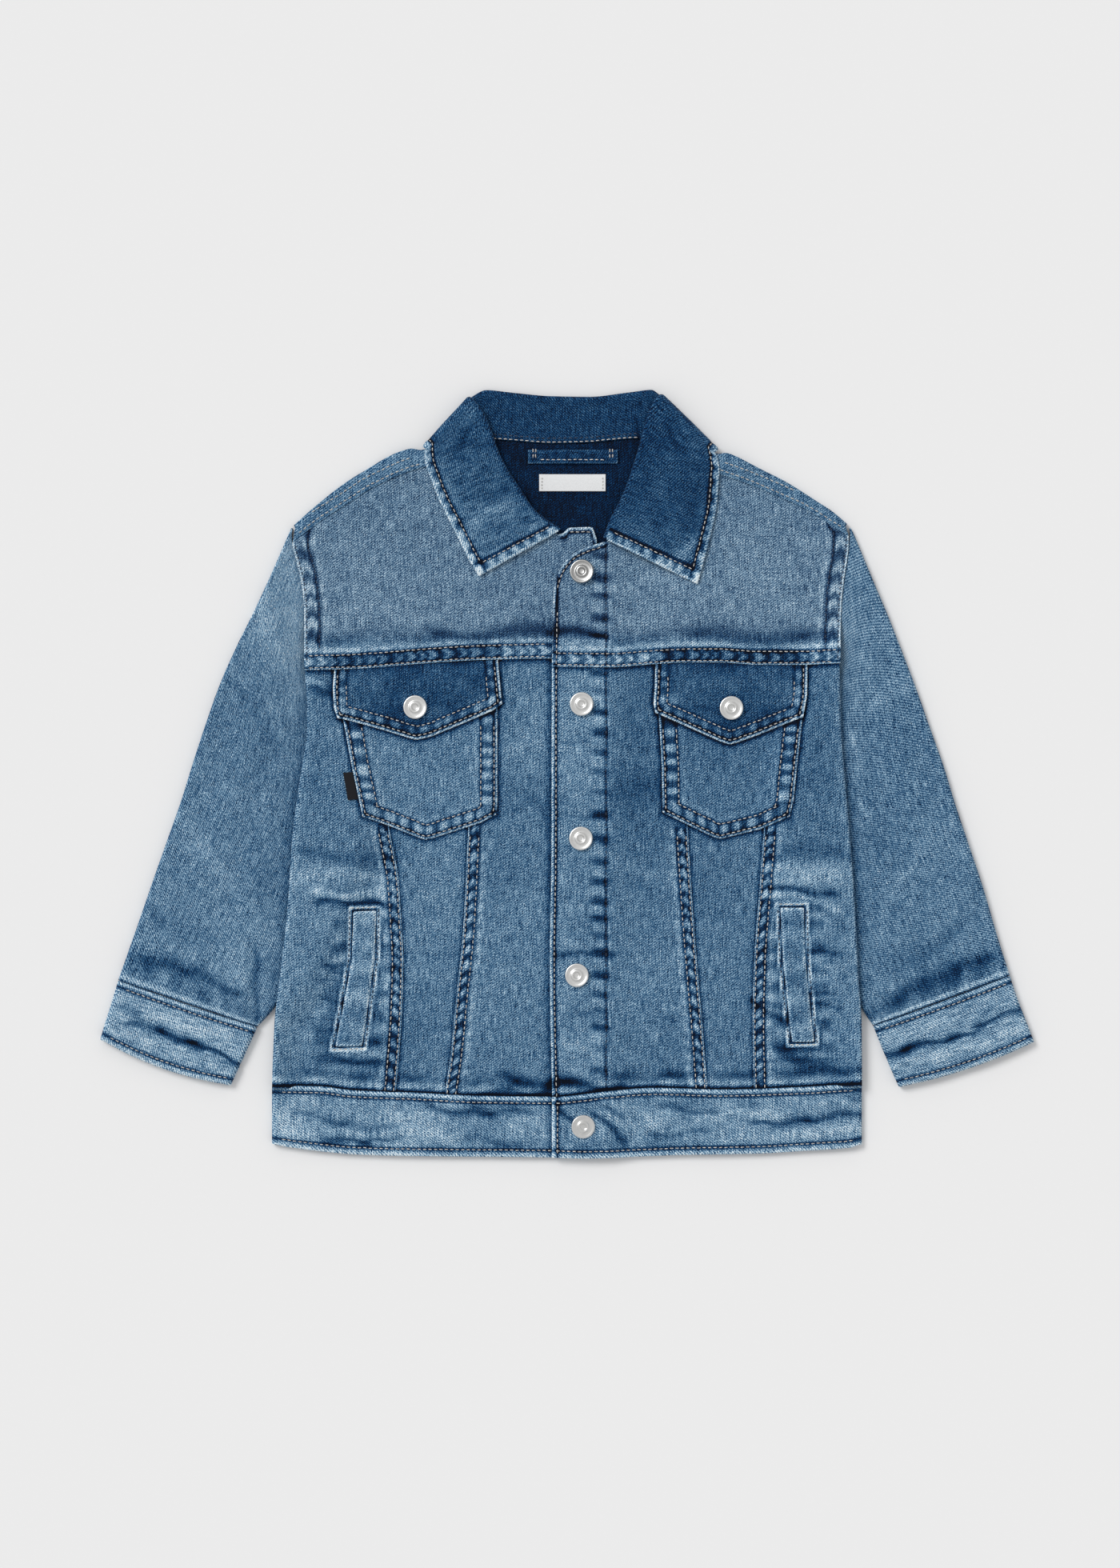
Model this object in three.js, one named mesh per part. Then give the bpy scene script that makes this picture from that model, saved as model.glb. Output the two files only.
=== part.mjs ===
// Denim jacket laid flat on its back, fronts closed, sleeves down beside the body.
// Millimetres, +Z up off the floor, +Y to the collar. Left and right are as seen from above.

import * as THREE from 'three';

// Driving dimensions
const cloth = 1.2;           // denim wall
const band = 2.0;            // collar, waistband and cuffs: two layers pressed together
const innerGap = 1.8;        // air between the back and the front of the body
const seamGap = 0.3;         // between pieces joined at a seam
const layGap = 0.4;          // between a piece and what it lies on
const pressedSleeve = 4.2;   // height of a sleeve under the body
const freeSleeve = 5.8;      // height of a sleeve beside the body
const cuffHeight = 6.0;
const swellStart = 2;        // way beside the body where a sleeve starts to swell
const swellEnd = 24;         // and where it has its free height
const overSleeve = 30;       // way over which the back climbs onto a sleeve
const overCollar = 24;       // way over which the back climbs onto the collar
const underarm = 60;         // height of the armhole's lower end
const underarmLift = 15;     // way above it over which the back still lies as high as below it
const armholeFall = 1.2;     // how fast the lift ends above that
const fullLift = 5;          // way before an edge below it where the back has its full lift
const backYokeSeam = 72;
const rollRadius = 1.3;      // collar's folded edge, to the middle of its wall
const backStand = 3.6;       // middle of the collar's stand over the back leaf
const frontLap = 1.5;        // lift of the right front over the left one
const lapEnd = 22;           // the lift is full up to here and has gone lapRun further on
const lapRun = 24;
const underEdge = 18.5;      // hidden edge of the left front
const seamFold = 8;          // width of a felled seam
const seamRaise = 0.5;       // extra thickness of a felled seam
const ridgeTop = -44;        // the felled seams are plain above this height, under the pockets
const ridgeFull = -60;       // and have their full thickness below this one
const seamWidthAt = -120;    // height where a felled seam has its named width
const labelThickness = 1.0;
const loopThickness = 1.6;
const loopArch = 1.0;
const buttonRadius = 7.5;

const foldRadius = (cloth + innerGap) / 2;
const colours = {
  denim: 0x5f80a4,
  paleDenim: 0x7f9bb8,
  darkDenim: 0x3d5878,
  bandDenim: 0x86a2bc,
  insideDenim: 0x232b3d,
  label: 0xeceae4,
  tab: 0x17181b,
  button: 0xb4b3ae,
};

// A short table: each row becomes an object with the named columns.
function table(columns, rows) {
  return rows.map((row) => Object.fromEntries(columns.map((column, index) => [column, row[index]])));
}

// Distance of the armhole and the side edge from the middle line, by height.
const bodyEdges = table(['y', 'left', 'right'], [
  [157, 169.3, 173.4],
  [150, 171.2, 176.0],
  [143.5, 171.8, 176.0],
  [133.5, 169.5, 175.0],
  [121, 166.5, 173.0],
  [103, 164.6, 171.3],
  [64.5, 164.0, 170.5],
  [43.5, 162.7, 170.7],
  [23.5, 163.0, 171.5],
  [3.5, 166.0, 173.0],
  [-36.5, 171.5, 176.5],
  [-86.5, 175.0, 180.0],
  [-126.5, 179.5, 182.0],
  [-156.5, 183.0, 184.0],
  [-196.5, 184.5, 184.3],
  [-240, 185.0, 184.5],
]);

// Outline of the shoulders from the neck to the armhole, and the seam that lies in front of it.
const shoulders = {
  left: table(['x', 'y'], [[71.5, 210.5], [84, 206], [88, 203.2], [92, 202.4], [97, 203.3], [104.5, 201.5],
    [114.5, 197], [124.5, 191], [134.5, 185], [144.5, 178], [154.5, 170], [162, 163.7], [171, 155.5]]),
  right: table(['x', 'y'], [[72.5, 210.5], [84, 206], [90, 202.3], [94.5, 200.0], [99, 200.6],
    [105.5, 198.5],
    [115.5, 193.5], [125.5, 188.5], [135.5, 183.5], [145.5, 177.5], [155.5, 171], [165.5, 164.5],
    [175, 156.5]]),
};
const shoulderSeams = {
  left: table(['x', 'y'], [[67.5, 197.4], [76, 195.3], [94.5, 191], [104.5, 187.5], [114.5, 183],
    [124.5, 178],
    [134.5, 171.5], [144.5, 165], [154.5, 158.5], [162, 153], [171.6, 145.2]]),
  right: table(['x', 'y'], [[68, 197.6], [82, 193], [95.5, 188], [115.5, 181], [135.5, 172.5], [145.5, 168],
    [155.5, 162.5], [165.5, 156], [175.8, 149.5]]),
};

// Sleeve sections from the armhole to the cuff: outer and inner fold, distances from the middle line.
const sleeves = {
  left: table(['outerX', 'outerY', 'innerX', 'innerY'], [[172.2, 154.2, 163.9, 60], [185, 125, 157.5, 42],
    [196.5, 100.5, 150, 24], [206.5, 80.5, 143.5, 6], [217, 57, 139.5, -13], [226.5, 30.5, 138, -33],
    [234.5, 6, 141, -54], [242.5, -19.5, 148.5, -76], [251.5, -45, 158, -98], [261, -72, 169, -121],
    [270.5, -99.5, 182, -145], [280.9, -129.1, 193.9, -158.4]]),
  right: table(['outerX', 'outerY', 'innerX', 'innerY'], [[177.8, 154.2, 171.2, 60], [189.5, 125, 164.5, 42],
    [200, 100.5, 156, 24], [208, 80.5, 149, 6], [218.5, 53, 144, -13], [226.5, 30.5, 142, -33],
    [235.5, 5, 144.5, -54], [243, -19.5, 151, -76], [251.5, -45, 160, -98], [260.5, -72, 171, -121],
    [268.5, -99.5, 183, -145], [276.9, -126.1, 191.4, -157.6]]),
};
const cuffs = {
  left: table(['outerX', 'outerY', 'innerX', 'innerY', 'bow'], [[281, -129.5, 194, -158.8, 0.5],
    [284.5, -141, 199, -170, 1.5], [288.5, -154, 205, -183, 3], [292, -165.5, 210.3, -194.3, 4.5]]),
  right: table(['outerX', 'outerY', 'innerX', 'innerY', 'bow'], [[277, -126.5, 191.5, -158, 0.5],
    [281.5, -140, 196.5, -170.5, 1], [287, -154.5, 202, -183.5, 2], [292, -167.2, 207.3, -195.5, 3]]),
};
// Long soft dips pressed into the sleeves: from one end to the other, half width and depth.
const sleeveDips = table(['fromX', 'fromY', 'toX', 'toY', 'width', 'depth'], [
  [-194, -112, -193, -156, 7, 1.0],
  [-196, 96, -232, -44, 10, 0.8],
  [-184, 20, -214, -84, 9, 0.7],
  [186, 40, 203, -40, 8, 0.8],
  [192, 100, 226, 8, 10, 0.7],
  [205, -60, 236, -118, 10, 0.6],
]);

// Collar sections from the front end to the side of the neck: leaf edge, folded edge and neck seam.
const collarFronts = {
  left: table(['edgeX', 'edgeY', 'rollX', 'rollY', 'seamX', 'seamY'], [[-55, 124, -3.5, 153, -6, 150.5],
    [-61, 134, -12, 158.5, -18, 153.5], [-67, 146, -21, 166, -30, 159.5], [-73, 158, -29.5, 178.5, -43, 170],
    [-79.5, 171, -37, 190, -54, 181.5], [-85, 185, -43, 202, -62.5, 192],
    [-88.5, 196, -47, 214, -67.6, 199.3],
    [-88.4, 200.5, -52, 225.5, -69.4, 205.5]]),
  right: table(['edgeX', 'edgeY', 'rollX', 'rollY', 'seamX', 'seamY'], [[81, 119, 22.5, 147.5, 25, 145.7],
    [85, 133, 26.5, 158.5, 32.5, 151.5], [88.5, 147, 32, 169, 41, 159], [91, 157, 37, 180.5, 49, 168],
    [93, 168, 41, 192.5, 56, 178.5], [94, 180, 44.5, 204, 62.5, 189], [94.5, 189, 47.5, 215, 67.8, 199.3],
    [93, 197.5, 51, 226, 70, 205.5]]),
};
// Base line of the fold at each side of the neck, and the way its outside faces.
const collarSides = {
  left: { edge: [-87, 202], roll: [-59, 230], seam: [-69.5, 210.5], out: [-0.707, 0.707] },
  right: { edge: [91.4, 200.3], roll: [56.5, 231.5], seam: [70, 210.5], out: [0.69, 0.724] },
};
const collarBack = table(['edgeX', 'edgeY', 'rollX', 'rollY', 'seamX', 'seamY'], [
  [-72, 198, -50, 240, -57, 210],
  [-45, 194, -32, 238.2, -34, 208.3],
  [-15, 191.5, -10, 236.3, -10, 206.7],
  [15, 191.5, 14, 235.9, 12, 207.2],
  [45, 194, 36, 238.3, 36, 209.3],
  [72, 198, 52, 240.2, 57, 210.5],
]);
const collarReach = { left: 97, right: 100 };

// Seams that run down the fronts, x by height.
const seamLines = {
  outerLeft: table(['y', 'x'], [[66, -129.5], [-36.5, -111], [-66.5, -105.5], [-96.5, -103.5],
    [-116.5, -102.5],
    [-151.5, -103.5], [-203, -107.5]]),
  innerLeft: table(['y', 'x'], [[70, -57], [-36.5, -62], [-96.5, -65], [-136.5, -69], [-176.5, -73],
    [-203, -77]]),
  innerRight: table(['y', 'x'], [[70, 69], [-36.5, 75.5], [-76.5, 78], [-116.5, 81], [-156.5, 84.5],
    [-203, 88]]),
  outerRight: table(['y', 'x'], [[68, 131.5], [-36.5, 123], [-76.5, 120], [-116.5, 117], [-156.5, 116],
    [-203, 117]]),
};
const yokeSeams = {
  left: table(['x', 'y'], [[-165, 64.5], [-134, 65.5], [-95, 68.5], [-55, 71], [-12, 72], [19, 72]]),
  right: table(['x', 'y'], [[-10, 67], [26, 66.5], [55, 68.5], [76, 69.5], [95, 69.5], [120, 68], [145, 68],
    [171, 69]]),
};
const leadingEdge = table(['y', 'x'], [[-205, -9], [-120, -10.5], [-50, -9.5], [60, -9.3], [104, -8.5]]);
const neckCurve = table(['x', 'y'], [[-8.6, 103.5], [-8, 113.5], [-6, 123.5], [-2, 131], [4.5, 137.5],
  [13, 141.5], [24, 144.8]]);
const underNeck = table(['x', 'y'], [[-6, 149.4], [-2, 150.3], [1, 153.5], [15.5, 154], [18.6, 146]]);
const waistTop = table(['x', 'y'], [[-185, -196], [-155, -196.5], [-134, -199], [-95, -200.5], [-55, -202.5],
  [-10, -203], [26, -199.5], [55, -197.5], [96, -198.5], [146, -197], [185, -194.5]]);
const waistBottom = table(['x', 'y'], [[-185, -231.5], [-155, -235.5], [-134, -237.5], [-105, -238.5],
  [-10, -239.5],
  [10, -240], [70, -238], [121, -237], [146, -235.5], [176, -233.5], [185, -231.5]]);

// Pieces sewn on the fronts: side lines x by y, and top and bottom lines y by x.
const pockets = {
  left: {
    left: table(['y', 'x'], [[48.5, -142.5], [33, -139.5], [3.5, -134], [-26.5, -127.5], [-41, -127]]),
    right: table(['y', 'x'], [[48.5, -44], [-20, -44], [-26, -45]]),
    top: table(['x', 'y'], [[-143, 48.5], [-44, 48.5]]),
    bottom: table(['x', 'y'], [[-127.5, -26.5], [-109.5, -33], [-92, -40], [-88.5, -41], [-84, -40],
      [-54.5, -30.5], [-45, -25.5]]),
    tip: 0.47,
  },
  right: {
    left: table(['y', 'x'], [[48.5, 57], [3.5, 59.5], [-24, 60]]),
    right: table(['y', 'x'], [[48.5, 147], [33, 146.5], [3.5, 143], [-16.5, 141], [-26.5, 138.5]]),
    top: table(['x', 'y'], [[57, 48.5], [147, 48.5]]),
    bottom: table(['x', 'y'], [[60, -24], [80.5, -34], [92, -39.5], [96, -40.5], [100, -39.5],
      [120.5, -34.5],
      [138.5, -26.5]]),
    tip: 0.46,
  },
};
const flaps = {
  left: {
    left: table(['y', 'x'], [[65, -145.5], [53.5, -146], [41, -145.3], [34.5, -143]]),
    right: table(['y', 'x'], [[70, -43.5], [58.5, -42.5], [43, -41]]),
    top: table(['x', 'y'], [[-146, 64.7], [-134, 65.2], [-95, 68.2], [-43, 71]]),
    bottom: table(['x', 'y'], [[-143.5, 35], [-134.5, 33], [-114.5, 27.5], [-97, 22], [-94, 21.5],
      [-90, 22.3],
      [-84.5, 23.7], [-64.5, 32], [-47, 39.5], [-41, 44]]),
    tip: 0.49,
  },
  right: {
    left: table(['y', 'x'], [[68.5, 55.5], [53.5, 55], [43.5, 54.3], [38, 55.5]]),
    right: table(['y', 'x'], [[68.5, 150], [48.5, 149.5], [35, 147]]),
    top: table(['x', 'y'], [[55, 68.2], [76, 69.2], [95, 69.2], [120, 67.7], [150, 67.7]]),
    bottom: table(['x', 'y'], [[55, 38.5], [75.5, 29.5], [95.5, 20.5], [101.5, 18.5], [106, 19.7], [118, 24],
      [138, 32], [147.5, 35.8]]),
    tip: 0.5,
  },
};
const welts = {
  left: {
    left: table(['y', 'x'], [[-86.5, -133.5], [-116.5, -134.5], [-146.5, -140], [-170.5, -144.8]]),
    right: table(['y', 'x'], [[-86.5, -119.8], [-116.5, -120.8], [-146.5, -125], [-170.5, -128.5]]),
    top: table(['x', 'y'], [[-134, -86.5], [-119, -86]]),
    bottom: table(['x', 'y'], [[-145, -170.5], [-128, -170]]),
  },
  right: {
    left: table(['y', 'x'], [[-84, 133.8], [-116.5, 135.2], [-156.5, 139.5], [-168, 141]]),
    right: table(['y', 'x'], [[-84, 147.4], [-116.5, 148.7], [-156.5, 152.8], [-168, 154.4]]),
    top: table(['x', 'y'], [[133, -84], [148, -84]]),
    bottom: table(['x', 'y'], [[140, -167.5], [155, -167.5]]),
  },
};
const sideTab = {
  left: table(['y', 'x'], [[1, -139.9], [-16.5, -136.9]]),
  right: table(['y', 'x'], [[1, -134.2], [-16.5, -130.6]]),
  top: table(['x', 'y'], [[-140, 0.5], [-134, 1]]),
  bottom: table(['x', 'y'], [[-137, -16.5], [-130, -16]]),
};
const hangingLoop = { left: -24.5, right: 31.5, bottom: 194, top: 202.3 };
const neckLabel = { left: -17.5, right: 24, bottom: 176.8, top: 187.2 };

// Buttons: centre and how many layers lie between the front and the button.
const buttons = table(['name', 'x', 'y', 'rest'], [
  ['button_top', 9, 126.5, 'front'],
  ['button_chest', 9, 43.5, 'front'],
  ['button_middle', 8.5, -40.5, 'front'],
  ['button_low', 6, -126, 'front'],
  ['button_waist', 10, -220.5, 'waistband'],
  ['button_flap_left', -95, 41.5, 'flap'],
  ['button_flap_right', 102.5, 41, 'flap'],
]);
const buttonProfile = table(['radius', 'z'], [
  [0, 0], [6.9, 0], [buttonRadius, 0.7], [buttonRadius, 1.3], [6.7, 1.9], [5.6, 1.5], [4.4, 1.5],
  [3.6, 2.4], [2.4, 2.4], [1.6, 1.6], [0, 1.6],
]);

// Lines through table rows
function sortedPairs(rows, input, output) {
  const pairs = rows.map((row) => [row[input], row[output]]);
  return pairs.sort((a, b) => a[0] - b[0]);
}

// The stretch of a sorted table that holds a value, and how far along it the value lies.
function findStretch(pairs, value) {
  const last = pairs.length - 2;
  const next = pairs.findIndex((pair) => pair[0] > value);
  const start = next < 0 ? last : Math.min(Math.max(next - 1, 0), last);
  const along = (value - pairs[start][0]) / (pairs[start + 1][0] - pairs[start][0]);
  return { start, along: THREE.MathUtils.clamp(along, 0, 1) };
}

function straightLine(rows, input, output) {
  const pairs = sortedPairs(rows, input, output);
  return (value) => {
    const { start, along } = findStretch(pairs, value);
    return THREE.MathUtils.lerp(pairs[start][1], pairs[start + 1][1], along);
  };
}

// A cubic through the rows that never swings past them.
function smoothLine(rows, input, output) {
  const pairs = sortedPairs(rows, input, output);
  const secants = pairs.slice(1).map((pair, i) => (pair[1] - pairs[i][1]) / (pair[0] - pairs[i][0]));
  const slopes = pairs.map((pair, i) => {
    const before = secants[Math.max(i - 1, 0)];
    const after = secants[Math.min(i, secants.length - 1)];
    return before * after > 0 ? 2 * before * after / (before + after) : 0;
  });
  return (value) => {
    const { start, along } = findStretch(pairs, value);
    const width = pairs[start + 1][0] - pairs[start][0];
    const rest = 1 - along;
    return pairs[start][1] * rest * rest * (1 + 2 * along)
      + slopes[start] * width * along * rest * rest
      + pairs[start + 1][1] * along * along * (3 - 2 * along)
      - slopes[start + 1] * width * along * along * rest;
  };
}

const byHeight = (rows) => smoothLine(rows, 'y', 'x');
const byWidth = (rows) => smoothLine(rows, 'x', 'y');
const sideSign = { left: -1, right: 1 };
const sideOf = (x) => (x < 0 ? 'left' : 'right');
const even = (count) => Array.from({ length: count + 1 }, (_, index) => index / count);
const bodyEdge = { left: smoothLine(bodyEdges, 'y', 'left'), right: smoothLine(bodyEdges, 'y', 'right') };
const sleeveInner = {
  left: smoothLine(sleeves.left, 'innerY', 'innerX'),
  right: smoothLine(sleeves.right, 'innerY', 'innerX'),
};
const collarBackEdge = smoothLine(collarBack, 'edgeX', 'edgeY');
const waist = {
  top: byWidth(waistTop),
  bottom: byWidth(waistBottom),
  backTop: straightLine([waistTop[0], waistTop[waistTop.length - 1]], 'x', 'y'),
};

// Heights of the layers
// The back lies on the floor, on the inner side of each sleeve and on the collar's back leaf.
function backUnderside(x, y) {
  const side = sideOf(x);
  const aboveUnderarm = Math.max(y - underarm - underarmLift, 0) * armholeFall;
  const sleeveDepth = Math.abs(x) - sleeveInner[side](y) - aboveUnderarm;
  const collarDepth = Math.min(y - collarBackEdge(x), collarReach[side] - Math.abs(x));
  const onSleeve = THREE.MathUtils.smoothstep(sleeveDepth, -overSleeve, -fullLift);
  const onCollar = THREE.MathUtils.smoothstep(collarDepth, -overCollar, -fullLift);
  return Math.max(onSleeve * (pressedSleeve + layGap), onCollar * (band + layGap));
}

const backMiddle = (x, y) => backUnderside(x, y) + cloth / 2;
const backTop = (x, y) => backUnderside(x, y) + cloth;
const frontMiddle = (x, y) => backMiddle(x, y) + 2 * foldRadius;
const lapLift = (x) => 1 - THREE.MathUtils.smoothstep(x, lapEnd, lapEnd + lapRun);
const rightFrontMiddle = (x, y) => frontMiddle(x, y) + frontLap * lapLift(x);
const frontMiddles = { left: frontMiddle, right: rightFrontMiddle };
const frontTop = (side, x, y) => frontMiddles[side](x, y) + cloth / 2;

// How strongly a point is dipped by a soft fold that runs from one place to another.
function dipAt(dip, x, y) {
  const length = Math.hypot(dip.toX - dip.fromX, dip.toY - dip.fromY);
  const alongX = (dip.toX - dip.fromX) / length;
  const alongY = (dip.toY - dip.fromY) / length;
  const along = (x - dip.fromX) * alongX + (y - dip.fromY) * alongY;
  const across = (x - dip.fromX) * alongY - (y - dip.fromY) * alongX;
  const past = Math.max(-along, along - length, 0);
  return dip.depth * Math.exp(-(across * across + past * past) / (dip.width * dip.width));
}

function sleeveTop(x, y) {
  const beside = Math.abs(x) - bodyEdge[sideOf(x)](y);
  const swell = THREE.MathUtils.smoothstep(beside, swellStart, swellEnd);
  const dips = sleeveDips.reduce((sum, dip) => sum + dipAt(dip, x, y), 0);
  return pressedSleeve + swell * (freeSleeve - pressedSleeve - dips);
}

// Cloth walls
// Middle points in rows, a cell between each four. Columns close on themselves in a tube.
function cellCorners(rows, isTube) {
  const width = rows[0].length;
  const cells = [];
  for (let row = 0; row < rows.length - 1; row += 1) {
    for (let column = 0; column < (isTube ? width : width - 1); column += 1) {
      const next = (column + 1) % width;
      const low = row * width;
      const high = low + width;
      cells.push([low + column, low + next, high + next, high + column]);
    }
  }
  return cells;
}

function pointNormals(points, cells) {
  const normals = points.map(() => new THREE.Vector3());
  const first = new THREE.Vector3();
  const second = new THREE.Vector3();
  for (const cell of cells) {
    first.subVectors(points[cell[2]], points[cell[0]]);
    second.subVectors(points[cell[3]], points[cell[1]]);
    first.cross(second).normalize();
    cell.forEach((corner) => normals[corner].add(first));
  }
  return normals.map((normal) => normal.normalize());
}

// A closed wall about its middle points, with a rim along every edge that has one cell only.
function clothWall(rows, thickness, options = {}) {
  const { isTube = false, leavesOut = () => false, raise = () => 0 } = options;
  const width = rows[0].length;
  const points = rows.flat();
  const isKept = ([corner]) => !leavesOut(Math.floor(corner / width), corner % width);
  const cells = cellCorners(rows, isTube).filter(isKept);
  const normals = pointNormals(points, cells);
  const positions = [];
  points.forEach((point, index) => {
    const outside = thickness / 2 + raise(Math.floor(index / width), index % width, point);
    positions.push(...point.clone().addScaledVector(normals[index], outside).toArray());
  });
  points.forEach((point, index) => {
    positions.push(...point.clone().addScaledVector(normals[index], -thickness / 2).toArray());
  });
  const under = points.length;
  const triangles = [];
  const edges = new Map();
  for (const [a, b, c, d] of cells) {
    triangles.push(a, b, c, a, c, d);
    triangles.push(under + a, under + c, under + b, under + a, under + d, under + c);
    [[a, b], [b, c], [c, d], [d, a]].forEach(([from, to]) => edges.set(`${from} ${to}`, [from, to]));
  }
  for (const [from, to] of edges.values()) {
    if (!edges.has(`${to} ${from}`)) {
      triangles.push(to, from, under + from, to, under + from, under + to);
    }
  }
  const geometry = new THREE.BufferGeometry();
  geometry.setAttribute('position', new THREE.Float32BufferAttribute(positions, 3));
  geometry.setIndex(triangles);
  geometry.computeVertexNormals();
  return geometry;
}

// A point of a panel between its left and right lines, x by y, and its bottom and top lines, y by x.
function panelPoint(panel, across, up) {
  let y = (panel.bottom(0) + panel.top(0)) / 2;
  let x = 0;
  for (let turn = 0; turn < 12; turn += 1) {
    x = THREE.MathUtils.lerp(panel.left(y), panel.right(y), across);
    y = THREE.MathUtils.lerp(panel.bottom(x), panel.top(x), up);
  }
  return [x, y];
}

function panelRows(panel, acrossSteps, upSteps, height) {
  return upSteps.map((up) => acrossSteps.map((across) => {
    const [x, y] = panelPoint(panel, across, up);
    return new THREE.Vector3(x, y, height(x, y));
  }));
}

// The side edge of the body turns round to the other layer below the underarm and is plain above it.
const turnSteps = [0.28, 0.57, 0.85];
const turnBelow = 6;             // the turn is full up to here below the underarm
const turnAbove = 10;            // and gone here above it
const leastTurn = 0.001;
function sideTurn(y) {
  const plain = THREE.MathUtils.smoothstep(y, underarm - turnBelow, underarm + turnAbove);
  const turned = Math.max(1 - plain, leastTurn);
  return { angle: turned * Math.PI / 2, radius: foldRadius / turned };
}

function sideBase(side, y) {
  const { angle, radius } = sideTurn(y);
  const reach = turnSteps[turnSteps.length - 1];
  return sideSign[side] * (bodyEdge[side](y) - cloth / 2 - radius * Math.sin(angle * reach));
}

// Points past the side of a row: they bend down from the front and up from the back.
function turnPoints(side, base, bend) {
  const { angle, radius } = sideTurn(base.y);
  return turnSteps.map((step) => new THREE.Vector3(
    base.x + sideSign[side] * radius * Math.sin(angle * step),
    base.y,
    base.z + bend * radius * (1 - Math.cos(angle * step)),
  ));
}

function withTurn(side, row, bend) {
  if (side === 'left') {
    return [...turnPoints('left', row[0], bend).reverse(), ...row];
  }
  return [...row, ...turnPoints('right', row[row.length - 1], bend)];
}

// Fronts
const seams = {
  left: { inner: byHeight(seamLines.innerLeft), outer: byHeight(seamLines.outerLeft) },
  right: { inner: byHeight(seamLines.innerRight), outer: byHeight(seamLines.outerRight) },
};
const yokeSeam = { left: byWidth(yokeSeams.left), right: byWidth(yokeSeams.right) };
const frontEdge = { left: () => underEdge, right: byHeight(leadingEdge) };
const waistSeamGap = 0.5;        // between the front panels and the waistband
const panelEnds = (side) => ({
  bottom: (x) => waist.top(x) + waistSeamGap,
  top: (x) => yokeSeam[side](x) - seamGap,
});

// Lines of a front panel between two lines, with the left one given first on either side.
function between(side, innerLine, outerLine) {
  return side === 'left' ? { left: outerLine, right: innerLine } : { left: innerLine, right: outerLine };
}

// Felled seams stand up a little below the pockets: on the columns next to the seam.
function seamRidge(columns) {
  return (row, column, point) => {
    const below = 1 - THREE.MathUtils.smoothstep(point.y, ridgeFull, ridgeTop);
    return columns.includes(column) ? seamRaise * below : 0;
  };
}

function stripSteps(panel, atStart, count) {
  const strip = seamFold / Math.abs(panel.right(seamWidthAt) - panel.left(seamWidthAt));
  const inner = even(count).map((step) => strip + step * (1 - strip));
  return atStart ? [0, ...inner] : [0, ...inner].map((step) => 1 - step).reverse();
}

function frontCenter(side) {
  const seamSide = (y) => seams[side].inner(y) - sideSign[side] * seamGap / 2;
  const panel = { ...between(side, frontEdge[side], seamSide), ...panelEnds(side) };
  const count = side === 'left' ? 5 : 7;
  const steps = stripSteps(panel, side === 'left', count);
  const ridge = seamRidge(side === 'left' ? [0, 1] : [count, count + 1]);
  return clothWall(panelRows(panel, steps, even(12), frontMiddles[side]), cloth, { raise: ridge });
}

function frontMiddlePanel(side) {
  const inner = (y) => seams[side].inner(y) + sideSign[side] * seamGap / 2;
  const outer = (y) => seams[side].outer(y) - sideSign[side] * seamGap / 2;
  const panel = { ...between(side, inner, outer), ...panelEnds(side) };
  return clothWall(panelRows(panel, even(5), even(12), frontMiddles[side]), cloth);
}

function frontSide(side) {
  const inner = (y) => seams[side].outer(y) + sideSign[side] * seamGap / 2;
  const outer = (y) => sideBase(side, y);
  const panel = { ...between(side, inner, outer), ...panelEnds(side) };
  const steps = stripSteps(panel, side === 'right', 7);
  const rows = panelRows(panel, steps, even(18), frontMiddle).map((row) => withTurn(side, row, -1));
  const ridge = seamRidge(side === 'right' ? [0, 1] : [10, 11]);
  return clothWall(rows, cloth, { raise: ridge });
}

// Front yokes run from the shoulder seam and the neck to the yoke seam, whose lower strip is double.
const shoulderLine = { left: byWidth(shoulders.left), right: byWidth(shoulders.right) };
const shoulderSeam = { left: byWidth(shoulderSeams.left), right: byWidth(shoulderSeams.right) };
const neckSeam = {
  left: smoothLine(collarFronts.left, 'seamX', 'seamY'),
  right: smoothLine(collarFronts.right, 'seamX', 'seamY'),
};
const underNeckLine = straightLine(underNeck, 'x', 'y');
const neckCurveLine = byWidth(neckCurve);
const seamCorner = 67.5;         // distance from the middle where neck and shoulder seam meet
const collarEnds = { left: -6, right: 25 };
const neckClearance = 0.8;
const placketLeft = -12;
const shoulderGap = 0.4;         // between the front yoke and the shoulder seam
// Columns of the front yokes fall on the corners of their top line
const yokeAcross = {
  left: [0, 0.05, 0.13, 0.22, 0.31, 0.4, 0.48, 0.548, 0.59, 0.64, 0.7, 0.77, 0.86, 0.895, 0.92,
    0.98, 1],
  right: [0, 0.006, 0.02, 0.045, 0.08, 0.125, 0.187, 0.24, 0.29, 0.34, 0.385, 0.424, 0.47, 0.55,
    0.64, 0.73, 0.82, 0.91, 1],
};
const yokeUp = [0, 0.09, 0.2, 0.32, 0.44, 0.56, 0.68, 0.8, 0.9, 1];

function frontYokeTop(side) {
  return (x) => {
    if (sideSign[side] * x > seamCorner) return shoulderSeam[side](Math.abs(x)) - shoulderGap;
    if (side === 'left' && x > collarEnds.left) return underNeckLine(x);
    if (side === 'right' && x < collarEnds.right) return neckCurveLine(x);
    return neckSeam[side](x) - neckClearance;
  };
}

function frontYoke(side) {
  const armhole = (y) => sideSign[side] * bodyEdge[side](y);
  const sides = between(side, frontEdge[side], armhole);
  const panel = { ...sides, bottom: yokeSeam[side], top: frontYokeTop(side) };
  const isDouble = (row, point) => row < 2 && (side === 'right' || point.x < placketLeft);
  const fold = (row, column, point) => (isDouble(row, point) ? seamRaise : 0);
  const rows = panelRows(panel, yokeAcross[side], yokeUp, frontMiddles[side]);
  return clothWall(rows, cloth, { raise: fold });
}

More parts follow.
